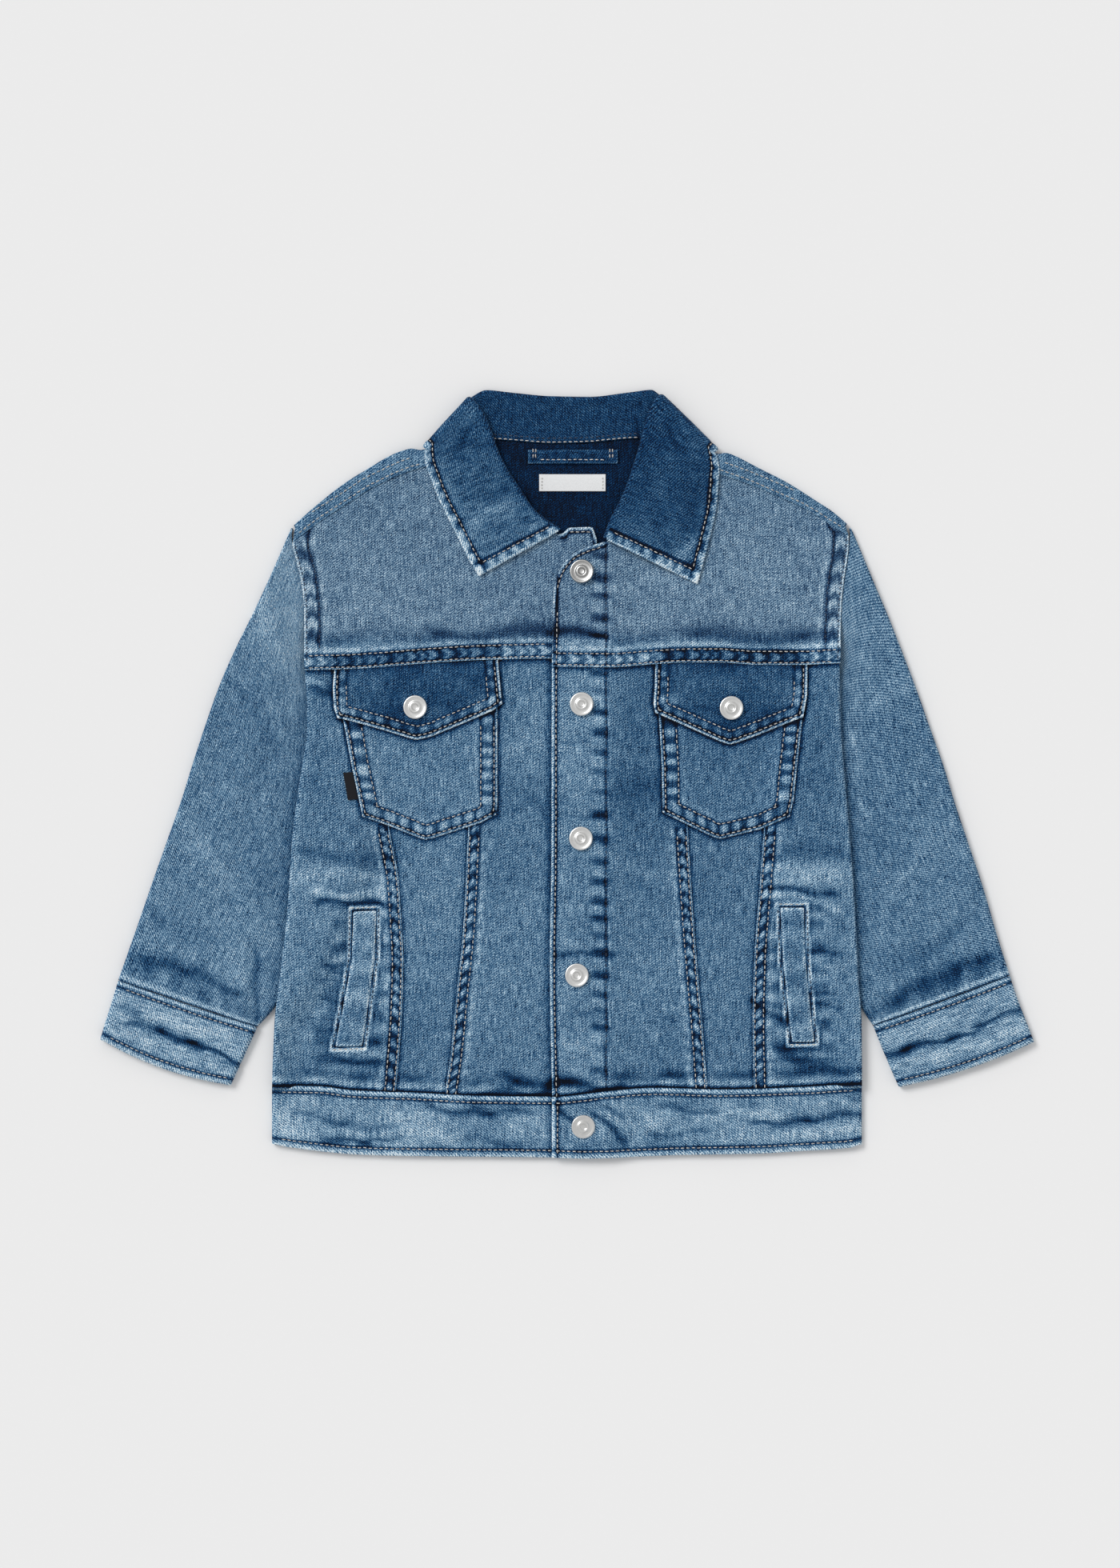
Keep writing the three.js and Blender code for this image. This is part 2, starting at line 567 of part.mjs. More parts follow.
// Back
function backPanel() {
  const panel = {
    left: (y) => sideBase('left', y),
    right: (y) => sideBase('right', y),
    bottom: (x) => waist.backTop(x) + seamGap,
    top: () => backYokeSeam - seamGap / 2,
  };
  const across = [0, 0.03, 0.06, 0.1, 0.15, 0.25, 0.4, 0.6, 0.75, 0.85, 0.9, 0.94, 0.97, 1];
  const up = [0, 0.07, 0.14, 0.21, 0.28, 0.35, 0.42, 0.49, 0.55, 0.61, 0.67, 0.73, 0.78, 0.82, 0.85,
    0.88, 0.91, 0.94, 0.97, 1];
  const flat = panelRows(panel, across, up, backMiddle);
  return clothWall(flat.map((row) => withTurn('right', withTurn('left', row, 1), 1)), cloth);
}

// The back yoke goes up to the neck, and on each side over the shoulder fold to the seam in front.
const shoulderTip = 146;
const shoulderColumns = [1, 0.94, 0.85, 0.74, 0.62, 0.5, 0.38, 0.27, 0.2, 0.13, 0];
const neckColumns = [-60, -42, -22, 0, 22, 42, 60];
const foldSteps = [0.25, 0.5, 0.75, 1];
const steepest = 0.9;            // slope of the shoulder up to which its fold turns with it

function shoulderFold(side, share) {
  const rows = shoulders[side];
  const x = THREE.MathUtils.lerp(rows[0].x, rows[rows.length - 1].x, share);
  const line = shoulderLine[side];
  const slope = (line(x + foldRadius) - line(x - foldRadius)) / (2 * foldRadius);
  const slant = THREE.MathUtils.clamp(slope, -steepest, 0);
  const out = new THREE.Vector2(-slant, 1).normalize();
  const top = new THREE.Vector2(x, line(x));
  const base = top.addScaledVector(out, -(foldRadius + cloth / 2));
  const seamEnd = bodyEdge[side](shoulderTip);
  const seamX = THREE.MathUtils.lerp(seamCorner + foldRadius, seamEnd, share);
  return { side, base, out, seam: new THREE.Vector2(seamX, shoulderSeam[side](seamX)) };
}

function shoulderColumn(fold, upSteps) {
  const sign = sideSign[fold.side];
  const point = (place, z) => new THREE.Vector3(sign * place.x, place.y, z);
  const tipScale = bodyEdge[fold.side](fold.base.y);
  const flat = upSteps.map((up) => {
    const y = THREE.MathUtils.lerp(backYokeSeam + seamGap / 2, fold.base.y, up);
    const x = fold.base.x * bodyEdge[fold.side](y) / tipScale;
    return point({ x, y }, backMiddle(sign * x, y));
  });
  const low = flat[flat.length - 1].z;
  const turn = foldSteps.map((step) => {
    const angle = step * Math.PI;
    const place = fold.base.clone().addScaledVector(fold.out, foldRadius * Math.sin(angle));
    return point(place, low + foldRadius * (1 - Math.cos(angle)));
  });
  const end = point(fold.seam, frontMiddle(sign * fold.seam.x, fold.seam.y));
  const half = turn[turn.length - 1].clone().lerp(end, 0.5);
  half.z = frontMiddle(half.x, half.y);
  return [...flat, ...turn, half, end];
}

function neckColumn(x, upSteps, neckLine) {
  const side = sideOf(x);
  const top = neckLine(x) - neckClearance;
  const flat = upSteps.map((up) => {
    const y = THREE.MathUtils.lerp(backYokeSeam + seamGap / 2, top, up);
    const narrowed = x * bodyEdge[side](y) / bodyEdge[side](top);
    return new THREE.Vector3(narrowed, y, backMiddle(narrowed, y));
  });
  const spare = foldSteps.length + 2;
  return [...flat, ...Array.from({ length: spare }, () => flat[flat.length - 1].clone())];
}

function backYoke() {
  const upSteps = [0, 0.14, 0.3, 0.46, 0.6, 0.7, 0.78, 0.86, 0.93, 1];
  const neckLine = smoothLine(collarBack, 'seamX', 'seamY');
  const columns = [
    ...shoulderColumns.map((share) => shoulderColumn(shoulderFold('left', share), upSteps)),
    ...neckColumns.map((x) => neckColumn(x, upSteps, neckLine)),
    ...[...shoulderColumns].reverse().map((share) => shoulderColumn(shoulderFold('right', share), upSteps)),
  ];
  const rows = columns[0].map((_, row) => columns.map((column) => column[row]));
  const firstNeck = shoulderColumns.length - 1;
  const lastNeck = firstNeck + neckColumns.length + 1;
  const leavesOut = (row, column) => row >= upSteps.length - 1 && column >= firstNeck && column < lastNeck;
  return clothWall(rows, cloth, { leavesOut });
}

// Sleeves and cuffs are flattened tubes: a ring goes over the top, round an end, back below and round.
const overSteps = [0, 0.06, 0.18, 0.3, 0.42, 0.54, 0.66, 0.78, 0.9, 1];
const underSteps = [1, 0.8, 0.6, 0.4, 0.2, 0];
const endAngles = [45, 90, 135];

function flatRing(lineAt, topAt, thickness) {
  const low = thickness / 2;
  const start = lineAt(0);
  const end = lineAt(1);
  const along = end.clone().sub(start).normalize();
  const startRadius = (topAt(start.x, start.y) - thickness) / 2;
  const endRadius = (topAt(end.x, end.y) - thickness) / 2;
  const width = end.distanceTo(start);
  const from = (startRadius + thickness / 2) / width;
  const to = 1 - (endRadius + thickness / 2) / width;
  const wallPoint = (step, isTop) => {
    const place = lineAt(THREE.MathUtils.lerp(from, to, step));
    const z = isTop ? topAt(place.x, place.y) - low : low;
    return new THREE.Vector3(place.x, place.y, z);
  };
  const roundEnd = (step, direction) => {
    const upper = wallPoint(step, true);
    const radius = (upper.z - low) / 2;
    return endAngles.map((degrees) => {
      const angle = THREE.MathUtils.degToRad(degrees);
      const out = direction * radius * Math.sin(angle);
      return new THREE.Vector3(upper.x + along.x * out, upper.y + along.y * out,
        low + radius * (1 + Math.cos(angle)));
    });
  };
  return [
    ...overSteps.map((step) => wallPoint(step, true)),
    ...roundEnd(1, 1),
    ...underSteps.map((step) => wallPoint(step, false)),
    ...roundEnd(0, -1).reverse(),
  ];
}

function sectionLine(side, section) {
  const sign = sideSign[side];
  const outer = new THREE.Vector2(sign * section.outerX, section.outerY);
  const inner = new THREE.Vector2(sign * section.innerX, section.innerY);
  const down = new THREE.Vector2(sign * (inner.y - outer.y), -sign * (inner.x - outer.x)).normalize();
  down.multiplyScalar(-sign * Math.sign(down.y * sign));
  const bow = section.bow || 0;
  return (share) => {
    const place = outer.clone().lerp(inner, share);
    return place.addScaledVector(down, bow * 4 * share * (1 - share));
  };
}

// The sleeve's first ring follows the armhole, just outside the body and the shoulder's fold.
const armholeClearance = 0.8;
const tipClearance = 1.5;
const tipStart = 126;
const tipEnd = 150;

function armholeLine(side) {
  const sections = sleeves[side];
  return (share) => {
    const y = THREE.MathUtils.lerp(sections[0].outerY, sections[0].innerY, share);
    const clear = armholeClearance + tipClearance * THREE.MathUtils.smoothstep(y, tipStart, tipEnd);
    return new THREE.Vector2(sideSign[side] * (bodyEdge[side](y) + clear), y);
  };
}

function sleeve(side) {
  const lines = sleeves[side].map((section) => sectionLine(side, section));
  lines[0] = armholeLine(side);
  return tube(side, lines.map((line) => flatRing(line, sleeveTop, cloth)), cloth);
}

function cuff(side) {
  const top = () => cuffHeight;
  const rings = cuffs[side].map((section) => flatRing(sectionLine(side, section), top, band));
  return tube(side, rings, band);
}

// Rings in order down a tube on the left wind the other way round from those on the right.
function tube(side, rings, thickness) {
  const rows = side === 'left' ? rings : rings.map((ring) => [...ring].reverse());
  return clothWall(rows, thickness, { isTube: true });
}

// Collar: leaf from its edge to the fold, round the fold, and stand down to the neck seam
const leafSteps = [0, 0.25, 0.5, 0.75, 1];
const leafRise = 0.1;            // share of the leaf that lies on the front before it rises
const rollAngles = [45, 90, 135];
const standSteps = [0, 0.5, 1];
const sideAngles = [90, 45, 0, -45, -90];

function collarSection(edge, roll, seam, leafZ, standZ) {
  const out = roll.clone().sub(edge).normalize();
  const leaf = leafSteps.map((step) => {
    const place = edge.clone().lerp(roll, step);
    return new THREE.Vector3(place.x, place.y, leafZ(step, place));
  });
  const leafEnd = leaf[leaf.length - 1].z;
  const fold = rollAngles.map((degrees) => {
    const angle = THREE.MathUtils.degToRad(degrees);
    const share = (1 - Math.cos(angle)) / 2;
    const reach = rollRadius * Math.sin(angle);
    return new THREE.Vector3(roll.x + out.x * reach, roll.y + out.y * reach,
      THREE.MathUtils.lerp(leafEnd, standZ, share));
  });
  const stand = standSteps.map((step) => {
    const place = roll.clone().lerp(seam, step);
    return new THREE.Vector3(place.x, place.y, standZ);
  });
  return [...leaf, ...fold, ...stand];
}

// A section whose fold is given by its visible edge.
function visibleSection(row, leafZ, standZ) {
  const edge = new THREE.Vector2(row.edgeX, row.edgeY);
  const roll = new THREE.Vector2(row.rollX, row.rollY);
  const out = roll.clone().sub(edge).normalize();
  roll.addScaledVector(out, -(rollRadius + band / 2));
  const seam = new THREE.Vector2(row.seamX, row.seamY);
  return collarSection(edge, roll, seam, leafZ, standZ);
}

function frontLeaf(side, standZ) {
  return (step, place) => {
    const lying = frontTop(side, place.x, place.y) + layGap + band / 2;
    const overStand = standZ + 2 * rollRadius;
    const toStand = THREE.MathUtils.smoothstep(step, leafRise, leafSteps[2]);
    return Math.max(lying, THREE.MathUtils.lerp(lying, overStand, toStand));
  };
}

function frontSection(side, row) {
  const standZ = frontMiddles[side](row.seamX, row.seamY) + layGap;
  return visibleSection(row, frontLeaf(side, standZ), standZ);
}

function backSection(row) {
  return visibleSection(row, () => backStand - 2 * rollRadius, backStand);
}

// At the side of the neck the front section turns over to the back one, the leaf outside the stand.
function sideSections(side) {
  const lines = collarSides[side];
  const edge = new THREE.Vector2(...lines.edge);
  const roll = new THREE.Vector2(...lines.roll);
  const seam = new THREE.Vector2(...lines.seam);
  const standZ = frontMiddles[side](seam.x, seam.y) + layGap;
  const front = collarSection(edge, roll, seam, frontLeaf(side, standZ), standZ);
  const back = collarSection(edge, roll, seam, () => backStand - 2 * rollRadius, backStand);
  return sideAngles.map((degrees) => {
    const angle = THREE.MathUtils.degToRad(degrees);
    return front.map((point, index) => {
      const radius = (point.z - back[index].z) / 2;
      const out = radius * Math.cos(angle);
      return new THREE.Vector3(point.x + lines.out[0] * out, point.y + lines.out[1] * out,
        back[index].z + radius * (1 + Math.sin(angle)));
    });
  });
}

function collar() {
  const rows = [
    ...collarFronts.left.map((row) => frontSection('left', row)),
    ...sideSections('left'),
    ...collarBack.map(backSection),
    ...sideSections('right').reverse(),
    ...[...collarFronts.right].reverse().map((row) => frontSection('right', row)),
  ];
  return clothWall(rows, band);
}

// Waistband: one strip from under the front lap, left, round the back and to the lap's edge on the right
const waistGap = 1.2;
const waistAt = -218;
const waistSteps = [0, 0.14, 0.86, 1];
const waistMiddle = band / 2;
const waistFront = waistMiddle + band + waistGap;
const waistTurn = (waistFront - waistMiddle) / 2;
const waistLap = band + seamGap;
const waistEnds = {
  left: -(bodyEdge.left(waistAt) - band / 2 - waistTurn),
  right: bodyEdge.right(waistAt) - band / 2 - waistTurn,
};
const waistFrontZ = (x) => waistFront + waistLap * lapLift(x);

function waistband() {
  const lerp = THREE.MathUtils.lerp;
  const turn = (side, angles) => angles.map((degrees) => {
    const angle = THREE.MathUtils.degToRad(degrees);
    const reach = sideSign[side] * waistTurn * Math.sin(angle);
    return [waistEnds[side] + reach, waistMiddle + waistTurn * (1 + Math.cos(angle))];
  });
  const path = [
    ...even(10).map((share) => [lerp(underEdge, waistEnds.left, share), waistFront]),
    ...turn('left', [45, 90, 135]),
    ...even(8).map((share) => [lerp(waistEnds.left, waistEnds.right, share), waistMiddle]),
    ...turn('right', [135, 90, 45]),
    ...even(16).map((share) => {
      const x = lerp(waistEnds.right, frontEdge.right(waistAt), share);
      return [x, waistFrontZ(x)];
    }),
  ];
  const rows = path.map(([x, z]) => waistSteps.map((up) => {
    const top = z > waistMiddle ? waist.top(x) : waist.backTop(x);
    return new THREE.Vector3(x, lerp(waist.bottom(x), top, up), z);
  }));
  return clothWall(rows, band);
}

// Pieces that lie on the fronts or inside the back neck
function laidPiece(outline, acrossSteps, upSteps, height, thickness) {
  const panel = {
    left: straightLine(outline.left, 'y', 'x'),
    right: straightLine(outline.right, 'y', 'x'),
    bottom: straightLine(outline.bottom, 'x', 'y'),
    top: straightLine(outline.top, 'x', 'y'),
  };
  return clothWall(panelRows(panel, acrossSteps, upSteps, height), thickness);
}

// Steps across a pointed piece, with one on its point.
function pointedSteps(tip, count) {
  const before = even(count).map((step) => step * tip);
  const after = even(count).slice(1).map((step) => tip + step * (1 - tip));
  return [...before, ...after];
}

const liftOver = (side, lift) => (x, y) => frontTop(side, x, y) + lift;
const pocketLift = 1.5 * layGap + cloth / 2;
const flapLift = 2.5 * layGap + 1.5 * cloth;

function pocket(side) {
  const steps = pointedSteps(pockets[side].tip, 5);
  return laidPiece(pockets[side], steps, even(8), liftOver(side, pocketLift), cloth);
}

function flap(side) {
  const steps = pointedSteps(flaps[side].tip, 5);
  return laidPiece(flaps[side], steps, even(4), liftOver(side, flapLift), cloth);
}

function welt(side) {
  return laidPiece(welts[side], even(2), even(8), liftOver(side, pocketLift + seamGap / 2), cloth);
}

function boxOutline(outline) {
  return {
    left: table(['y', 'x'], [[outline.bottom, outline.left], [outline.top, outline.left]]),
    right: table(['y', 'x'], [[outline.bottom, outline.right], [outline.top, outline.right]]),
    bottom: table(['x', 'y'], [[outline.left, outline.bottom], [outline.right, outline.bottom]]),
    top: table(['x', 'y'], [[outline.left, outline.top], [outline.right, outline.top]]),
  };
}

function loopPiece() {
  const span = hangingLoop.right - hangingLoop.left;
  const height = (x, y) => {
    const arch = loopArch * Math.sin(Math.PI * (x - hangingLoop.left) / span) ** 2;
    return backTop(x, y) + layGap + loopThickness / 2 + arch;
  };
  return laidPiece(boxOutline(hangingLoop), even(8), even(1), height, loopThickness);
}

function labelPiece() {
  const height = (x, y) => backTop(x, y) + layGap + labelThickness / 2;
  return laidPiece(boxOutline(neckLabel), even(4), even(2), height, labelThickness);
}

function tabPiece() {
  const height = liftOver('left', layGap + labelThickness / 2);
  return laidPiece(sideTab, even(1), even(2), height, labelThickness);
}

function buttonSolid() {
  const profile = buttonProfile.map((row) => new THREE.Vector2(row.radius, row.z));
  const geometry = new THREE.LatheGeometry(profile, 16);
  geometry.rotateX(Math.PI / 2);
  return geometry;
}

function buttonHeight(button) {
  if (button.rest === 'waistband') return waistFrontZ(button.x) + band / 2 + layGap;
  const side = button.rest === 'flap' ? sideOf(button.x) : 'right';
  const layers = button.rest === 'flap' ? flapLift + cloth / 2 : 0;
  return frontTop(side, button.x, button.y) + layers + layGap;
}

// Jacket
const jacket = new THREE.Group();

function addPiece(name, geometry, colour, roughness = 0.9, metalness = 0) {
  const material = new THREE.MeshStandardMaterial({ color: colour, roughness, metalness });
  const mesh = new THREE.Mesh(geometry, material);
  mesh.name = name;
  jacket.add(mesh);
  return mesh;
}

addPiece('back_panel', backPanel(), colours.denim);
addPiece('back_yoke', backYoke(), colours.insideDenim);
for (const side of ['left', 'right']) {
  addPiece(`front_yoke_${side}`, frontYoke(side), colours.paleDenim);
  addPiece(`front_center_${side}`, frontCenter(side), colours.denim);
  addPiece(`front_middle_${side}`, frontMiddlePanel(side), colours.denim);
  addPiece(`front_side_${side}`, frontSide(side), colours.denim);
  addPiece(`pocket_${side}`, pocket(side), colours.denim);
  addPiece(`flap_${side}`, flap(side), colours.darkDenim);
  addPiece(`welt_${side}`, welt(side), colours.paleDenim);
  addPiece(`sleeve_${side}`, sleeve(side), colours.denim);
  addPiece(`cuff_${side}`, cuff(side), colours.bandDenim);
}
addPiece('waistband', waistband(), colours.bandDenim);
addPiece('collar', collar(), colours.darkDenim);
addPiece('hanging_loop', loopPiece(), colours.insideDenim);
addPiece('neck_label', labelPiece(), colours.label);
addPiece('side_tab', tabPiece(), colours.tab);
for (const button of buttons) {
  const mesh = addPiece(button.name, buttonSolid(), colours.button, 0.35, 1);
  mesh.position.set(button.x, button.y, buttonHeight(button));
}

export default jacket;
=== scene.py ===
import bpy
import numpy as np
from bpy.props import FloatProperty, FloatVectorProperty, PointerProperty
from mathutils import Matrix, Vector


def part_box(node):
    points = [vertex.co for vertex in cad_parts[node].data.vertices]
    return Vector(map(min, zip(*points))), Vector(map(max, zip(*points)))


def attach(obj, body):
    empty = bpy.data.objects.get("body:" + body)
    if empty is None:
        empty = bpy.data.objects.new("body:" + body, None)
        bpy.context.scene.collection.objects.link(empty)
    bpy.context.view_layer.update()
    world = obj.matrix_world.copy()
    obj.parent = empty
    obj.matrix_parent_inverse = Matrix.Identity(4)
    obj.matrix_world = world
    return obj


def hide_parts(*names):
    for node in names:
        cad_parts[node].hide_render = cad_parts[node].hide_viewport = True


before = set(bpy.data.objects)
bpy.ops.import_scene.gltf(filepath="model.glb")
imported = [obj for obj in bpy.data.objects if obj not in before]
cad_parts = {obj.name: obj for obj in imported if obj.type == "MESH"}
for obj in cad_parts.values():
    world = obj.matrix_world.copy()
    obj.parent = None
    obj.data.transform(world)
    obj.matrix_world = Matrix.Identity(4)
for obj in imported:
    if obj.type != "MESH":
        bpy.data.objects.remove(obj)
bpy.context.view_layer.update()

bl_info = {
    "name": "Denim jacket laid flat",
    "version": (1, 0, 0),
    "blender": (4, 5, 0),
    "location": "3D View > Sidebar > Jacket",
    "description": "Builds the cloth, stitching and buttons of a denim jacket on its packed model",
    "category": "Object",
}

# Shapes are worked out in millimetres, +Y to the collar, and put into the meshes in metres.
METRE = 0.001
SIDES = ("left", "right")
SIGN = {"left": -1, "right": 1}

# Heights of the layers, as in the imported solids
CLOTH = 1.2
BAND = 2.0
PRESSED_SLEEVE = 4.2
FREE_SLEEVE = 5.8
CUFF_HEIGHT = 6.0
FOLD_RADIUS = 1.5
FRONT_LAP = 1.5
WAIST_FRONT = 4.2
WAIST_LAP = 2.3
UNDER_EDGE = 18.5
BACK_YOKE_SEAM = 72
ROLL_RADIUS = 1.3
BACK_STAND = 3.6
SEAM_CORNER = 67.5
LAY_GAP = 0.4
NEAR_EDGE = (0, 0.3, 0.7, 1.2, 1.9, 2.8)

CLEAR = 0.05

# Stitch rows, by how far inside an edge they lie
YOKE_ROWS = {"left": (1.2, 8.9), "right": (1.2, 8.4)}
ARMHOLE_ROWS = (9.5, 1.6)
SEAM_ROWS = (1.3, 6.8)
SHOULDER_ROWS = (2.6, 7.8)
FRONT_EDGE_ROW = 2.4
PLACKET_ROW_X = 24.3
POCKET_ROW = 1.7
POCKET_INNER_ROW = {"left": 10.0, "right": 10.0, "bottom": 8.6}
FLAP_ROWS = (2.1, 7.9)
CUFF_ROWS = (3.6, 4.0)
WAIST_ROWS = (3.6, 3.8)
WAIST_END_ROW = 3.0
COLLAR_ROW = 5.0
COLLAR_END_ROW = 6.4

# Loop and label in the neck: left, right, bottom, top
LOOP_BOX = (-24.5, 31.5, 194, 202.3)
LABEL_BOX = (-17.5, 24, 176.8, 187.2)

# Distance of the armhole and the side edge from the middle line, by height: y, left, right
BODY_EDGES = np.array([
    [157, 169.3, 173.4], [150, 171.2, 176.0], [143.5, 171.8, 176.0], [133.5, 169.5, 175.0],
    [121, 166.5, 173.0], [103, 164.6, 171.3], [64.5, 164.0, 170.5], [43.5, 162.7, 170.7],
    [23.5, 163.0, 171.5], [3.5, 166.0, 173.0], [-36.5, 171.5, 176.5], [-86.5, 175.0, 180.0],
    [-126.5, 179.5, 182.0], [-156.5, 183.0, 184.0], [-196.5, 184.5, 184.3], [-240, 185.0, 184.5]])

# Outline of the shoulders from the neck to the armhole, and the seam in front of it: x, y
SHOULDERS = {
    "left": [[71.5, 210.5], [84, 206], [88, 203.2], [92, 202.4], [97, 203.3], [104.5, 201.5],
             [114.5, 197], [124.5, 191], [134.5, 185], [144.5, 178], [154.5, 170], [162, 163.7],
             [171, 155.5]],
    "right": [[72.5, 210.5], [84, 206], [90, 202.3], [94.5, 200.0], [99, 200.6], [105.5, 198.5],
              [115.5, 193.5], [125.5, 188.5], [135.5, 183.5], [145.5, 177.5], [155.5, 171],
              [165.5, 164.5], [175, 156.5]]}
SHOULDER_SEAMS = {
    "left": [[67.5, 197.4], [76, 195.3], [94.5, 191], [104.5, 187.5], [114.5, 183], [124.5, 178],
             [134.5, 171.5], [144.5, 165], [154.5, 158.5], [162, 153], [171.6, 145.2]],
    "right": [[68, 197.6], [82, 193], [95.5, 188], [115.5, 181], [135.5, 172.5], [145.5, 168],
              [155.5, 162.5], [165.5, 156], [175.8, 149.5]]}

# Sleeve sections from the armhole to the cuff: outer x and y, inner x and y, from the middle line
SLEEVES = {
    "left": [[172.2, 154.2, 163.9, 60], [185, 125, 157.5, 42], [196.5, 100.5, 150, 24],
             [206.5, 80.5, 143.5, 6], [217, 57, 139.5, -13], [226.5, 30.5, 138, -33],
             [234.5, 6, 141, -54], [242.5, -19.5, 148.5, -76], [251.5, -45, 158, -98],
             [261, -72, 169, -121], [270.5, -99.5, 182, -145], [280.9, -129.1, 193.9, -158.4]],
    "right": [[177.8, 154.2, 171.2, 60], [189.5, 125, 164.5, 42], [200, 100.5, 156, 24],
              [208, 80.5, 149, 6], [218.5, 53, 144, -13], [226.5, 30.5, 142, -33],
              [235.5, 5, 144.5, -54], [243, -19.5, 151, -76], [251.5, -45, 160, -98],
              [260.5, -72, 171, -121], [268.5, -99.5, 183, -145], [276.9, -126.1, 191.4, -157.6]]}
# Cuff sections: outer x and y, inner x and y, bow
CUFFS = {
    "left": [[281, -129.5, 194, -158.8, 0.5], [284.5, -141, 199, -170, 1.5],
             [288.5, -154, 205, -183, 3], [292, -165.5, 210.3, -194.3, 4.5]],
    "right": [[277, -126.5, 191.5, -158, 0.5], [281.5, -140, 196.5, -170.5, 1],
              [287, -154.5, 202, -183.5, 2], [292, -167.2, 207.3, -195.5, 3]]}

# Collar sections from the front end to the side of the neck: leaf edge, fold and neck seam, x and y
COLLAR_FRONTS = {
    "left": [[-55, 124, -3.5, 153, -6, 150.5], [-61, 134, -12, 158.5, -18, 153.5],
             [-67, 146, -21, 166, -30, 159.5], [-73, 158, -29.5, 178.5, -43, 170],
             [-79.5, 171, -37, 190, -54, 181.5], [-85, 185, -43, 202, -62.5, 192],
             [-88.5, 196, -47, 214, -67.6, 199.3], [-88.4, 200.5, -52, 225.5, -69.4, 205.5]],
    "right": [[81, 119, 22.5, 147.5, 25, 145.7], [85, 133, 26.5, 158.5, 32.5, 151.5],
              [88.5, 147, 32, 169, 41, 159], [91, 157, 37, 180.5, 49, 168],
              [93, 168, 41, 192.5, 56, 178.5], [94, 180, 44.5, 204, 62.5, 189],
              [94.5, 189, 47.5, 215, 67.8, 199.3], [93, 197.5, 51, 226, 70, 205.5]]}
# The fold at each side of the neck: edge, fold, seam, and the way its outside faces
COLLAR_SIDES = {"left": [[-87, 202], [-59.5, 231.5], [-69.5, 210.5], [-0.707, 0.707]],
                "right": [[91.4, 200.3], [57, 233], [70, 210.5], [0.69, 0.724]]}
COLLAR_BACK = [[-72, 198, -50, 240, -57, 210], [-45, 194, -32, 238.2, -34, 208.3],
               [-15, 191.5, -10, 236.3, -10, 206.7], [15, 191.5, 14, 235.9, 12, 207.2],
               [45, 194, 36, 238.3, 36, 209.3], [72, 198, 52, 240.2, 57, 210.5]]
COLLAR_REACH = {"left": 97, "right": 100}

# Seams down the fronts: y, x
SEAM_LINES = {
    "left": {"outer": [[66, -129.5], [-36.5, -111], [-66.5, -105.5], [-96.5, -103.5],
                       [-116.5, -102.5], [-151.5, -103.5], [-203, -107.5]],
             "inner": [[70, -57], [-36.5, -62], [-96.5, -65], [-136.5, -69], [-176.5, -73],
                       [-203, -77]]},
    "right": {"inner": [[70, 69], [-36.5, 75.5], [-76.5, 78], [-116.5, 81], [-156.5, 84.5],
                        [-203, 88]],
              "outer": [[68, 131.5], [-36.5, 123], [-76.5, 120], [-116.5, 117], [-156.5, 116],
                        [-203, 117]]}}
YOKE_SEAMS = {"left": [[-165, 64.5], [-134, 65.5], [-95, 68.5], [-55, 71], [-12, 72], [19, 72]],
              "right": [[-10, 67], [26, 66.5], [55, 68.5], [76, 69.5], [95, 69.5], [120, 68],
                        [145, 68], [171, 69]]}
LEADING_EDGE = [[-205, -9], [-120, -10.5], [-50, -9.5], [60, -9.3], [104, -8.5]]
NECK_CURVE = [[-8.6, 103.5], [-8, 113.5], [-6, 123.5], [-2, 131], [4.5, 137.5], [13, 141.5],
              [24, 144.8]]
UNDER_NECK = [[-6, 149.4], [-2, 150.3], [1, 153.5], [15.5, 154], [18.6, 146]]
WAIST_TOP = [[-185, -196], [-155, -196.5], [-134, -199], [-95, -200.5], [-55, -202.5],
             [-10, -203], [26, -199.5], [55, -197.5], [96, -198.5], [146, -197], [185, -194.5]]
WAIST_BOTTOM = [[-185, -231.5], [-155, -235.5], [-134, -237.5], [-105, -238.5], [-10, -239.5],
                [10, -240], [70, -238], [121, -237], [146, -235.5], [176, -233.5], [185, -231.5]]

# Pieces sewn on the fronts: side lines as y, x and top and bottom lines as x, y
POCKETS = {
    "left": {"left": [[48.5, -142.5], [33, -139.5], [3.5, -134], [-26.5, -127.5], [-41, -127]],
             "right": [[48.5, -44], [-20, -44], [-26, -45]],
             "top": [[-143, 48.5], [-44, 48.5]],
             "bottom": [[-127.5, -26.5], [-109.5, -33], [-92, -40], [-88.5, -41], [-84, -40],
                        [-54.5, -30.5], [-45, -25.5]]},
    "right": {"left": [[48.5, 57], [3.5, 59.5], [-24, 60]],
              "right": [[48.5, 147], [33, 146.5], [3.5, 143], [-16.5, 141], [-26.5, 138.5]],
              "top": [[57, 48.5], [147, 48.5]],
              "bottom": [[60, -24], [80.5, -34], [92, -39.5], [96, -40.5], [100, -39.5],
                         [120.5, -34.5], [138.5, -26.5]]}}
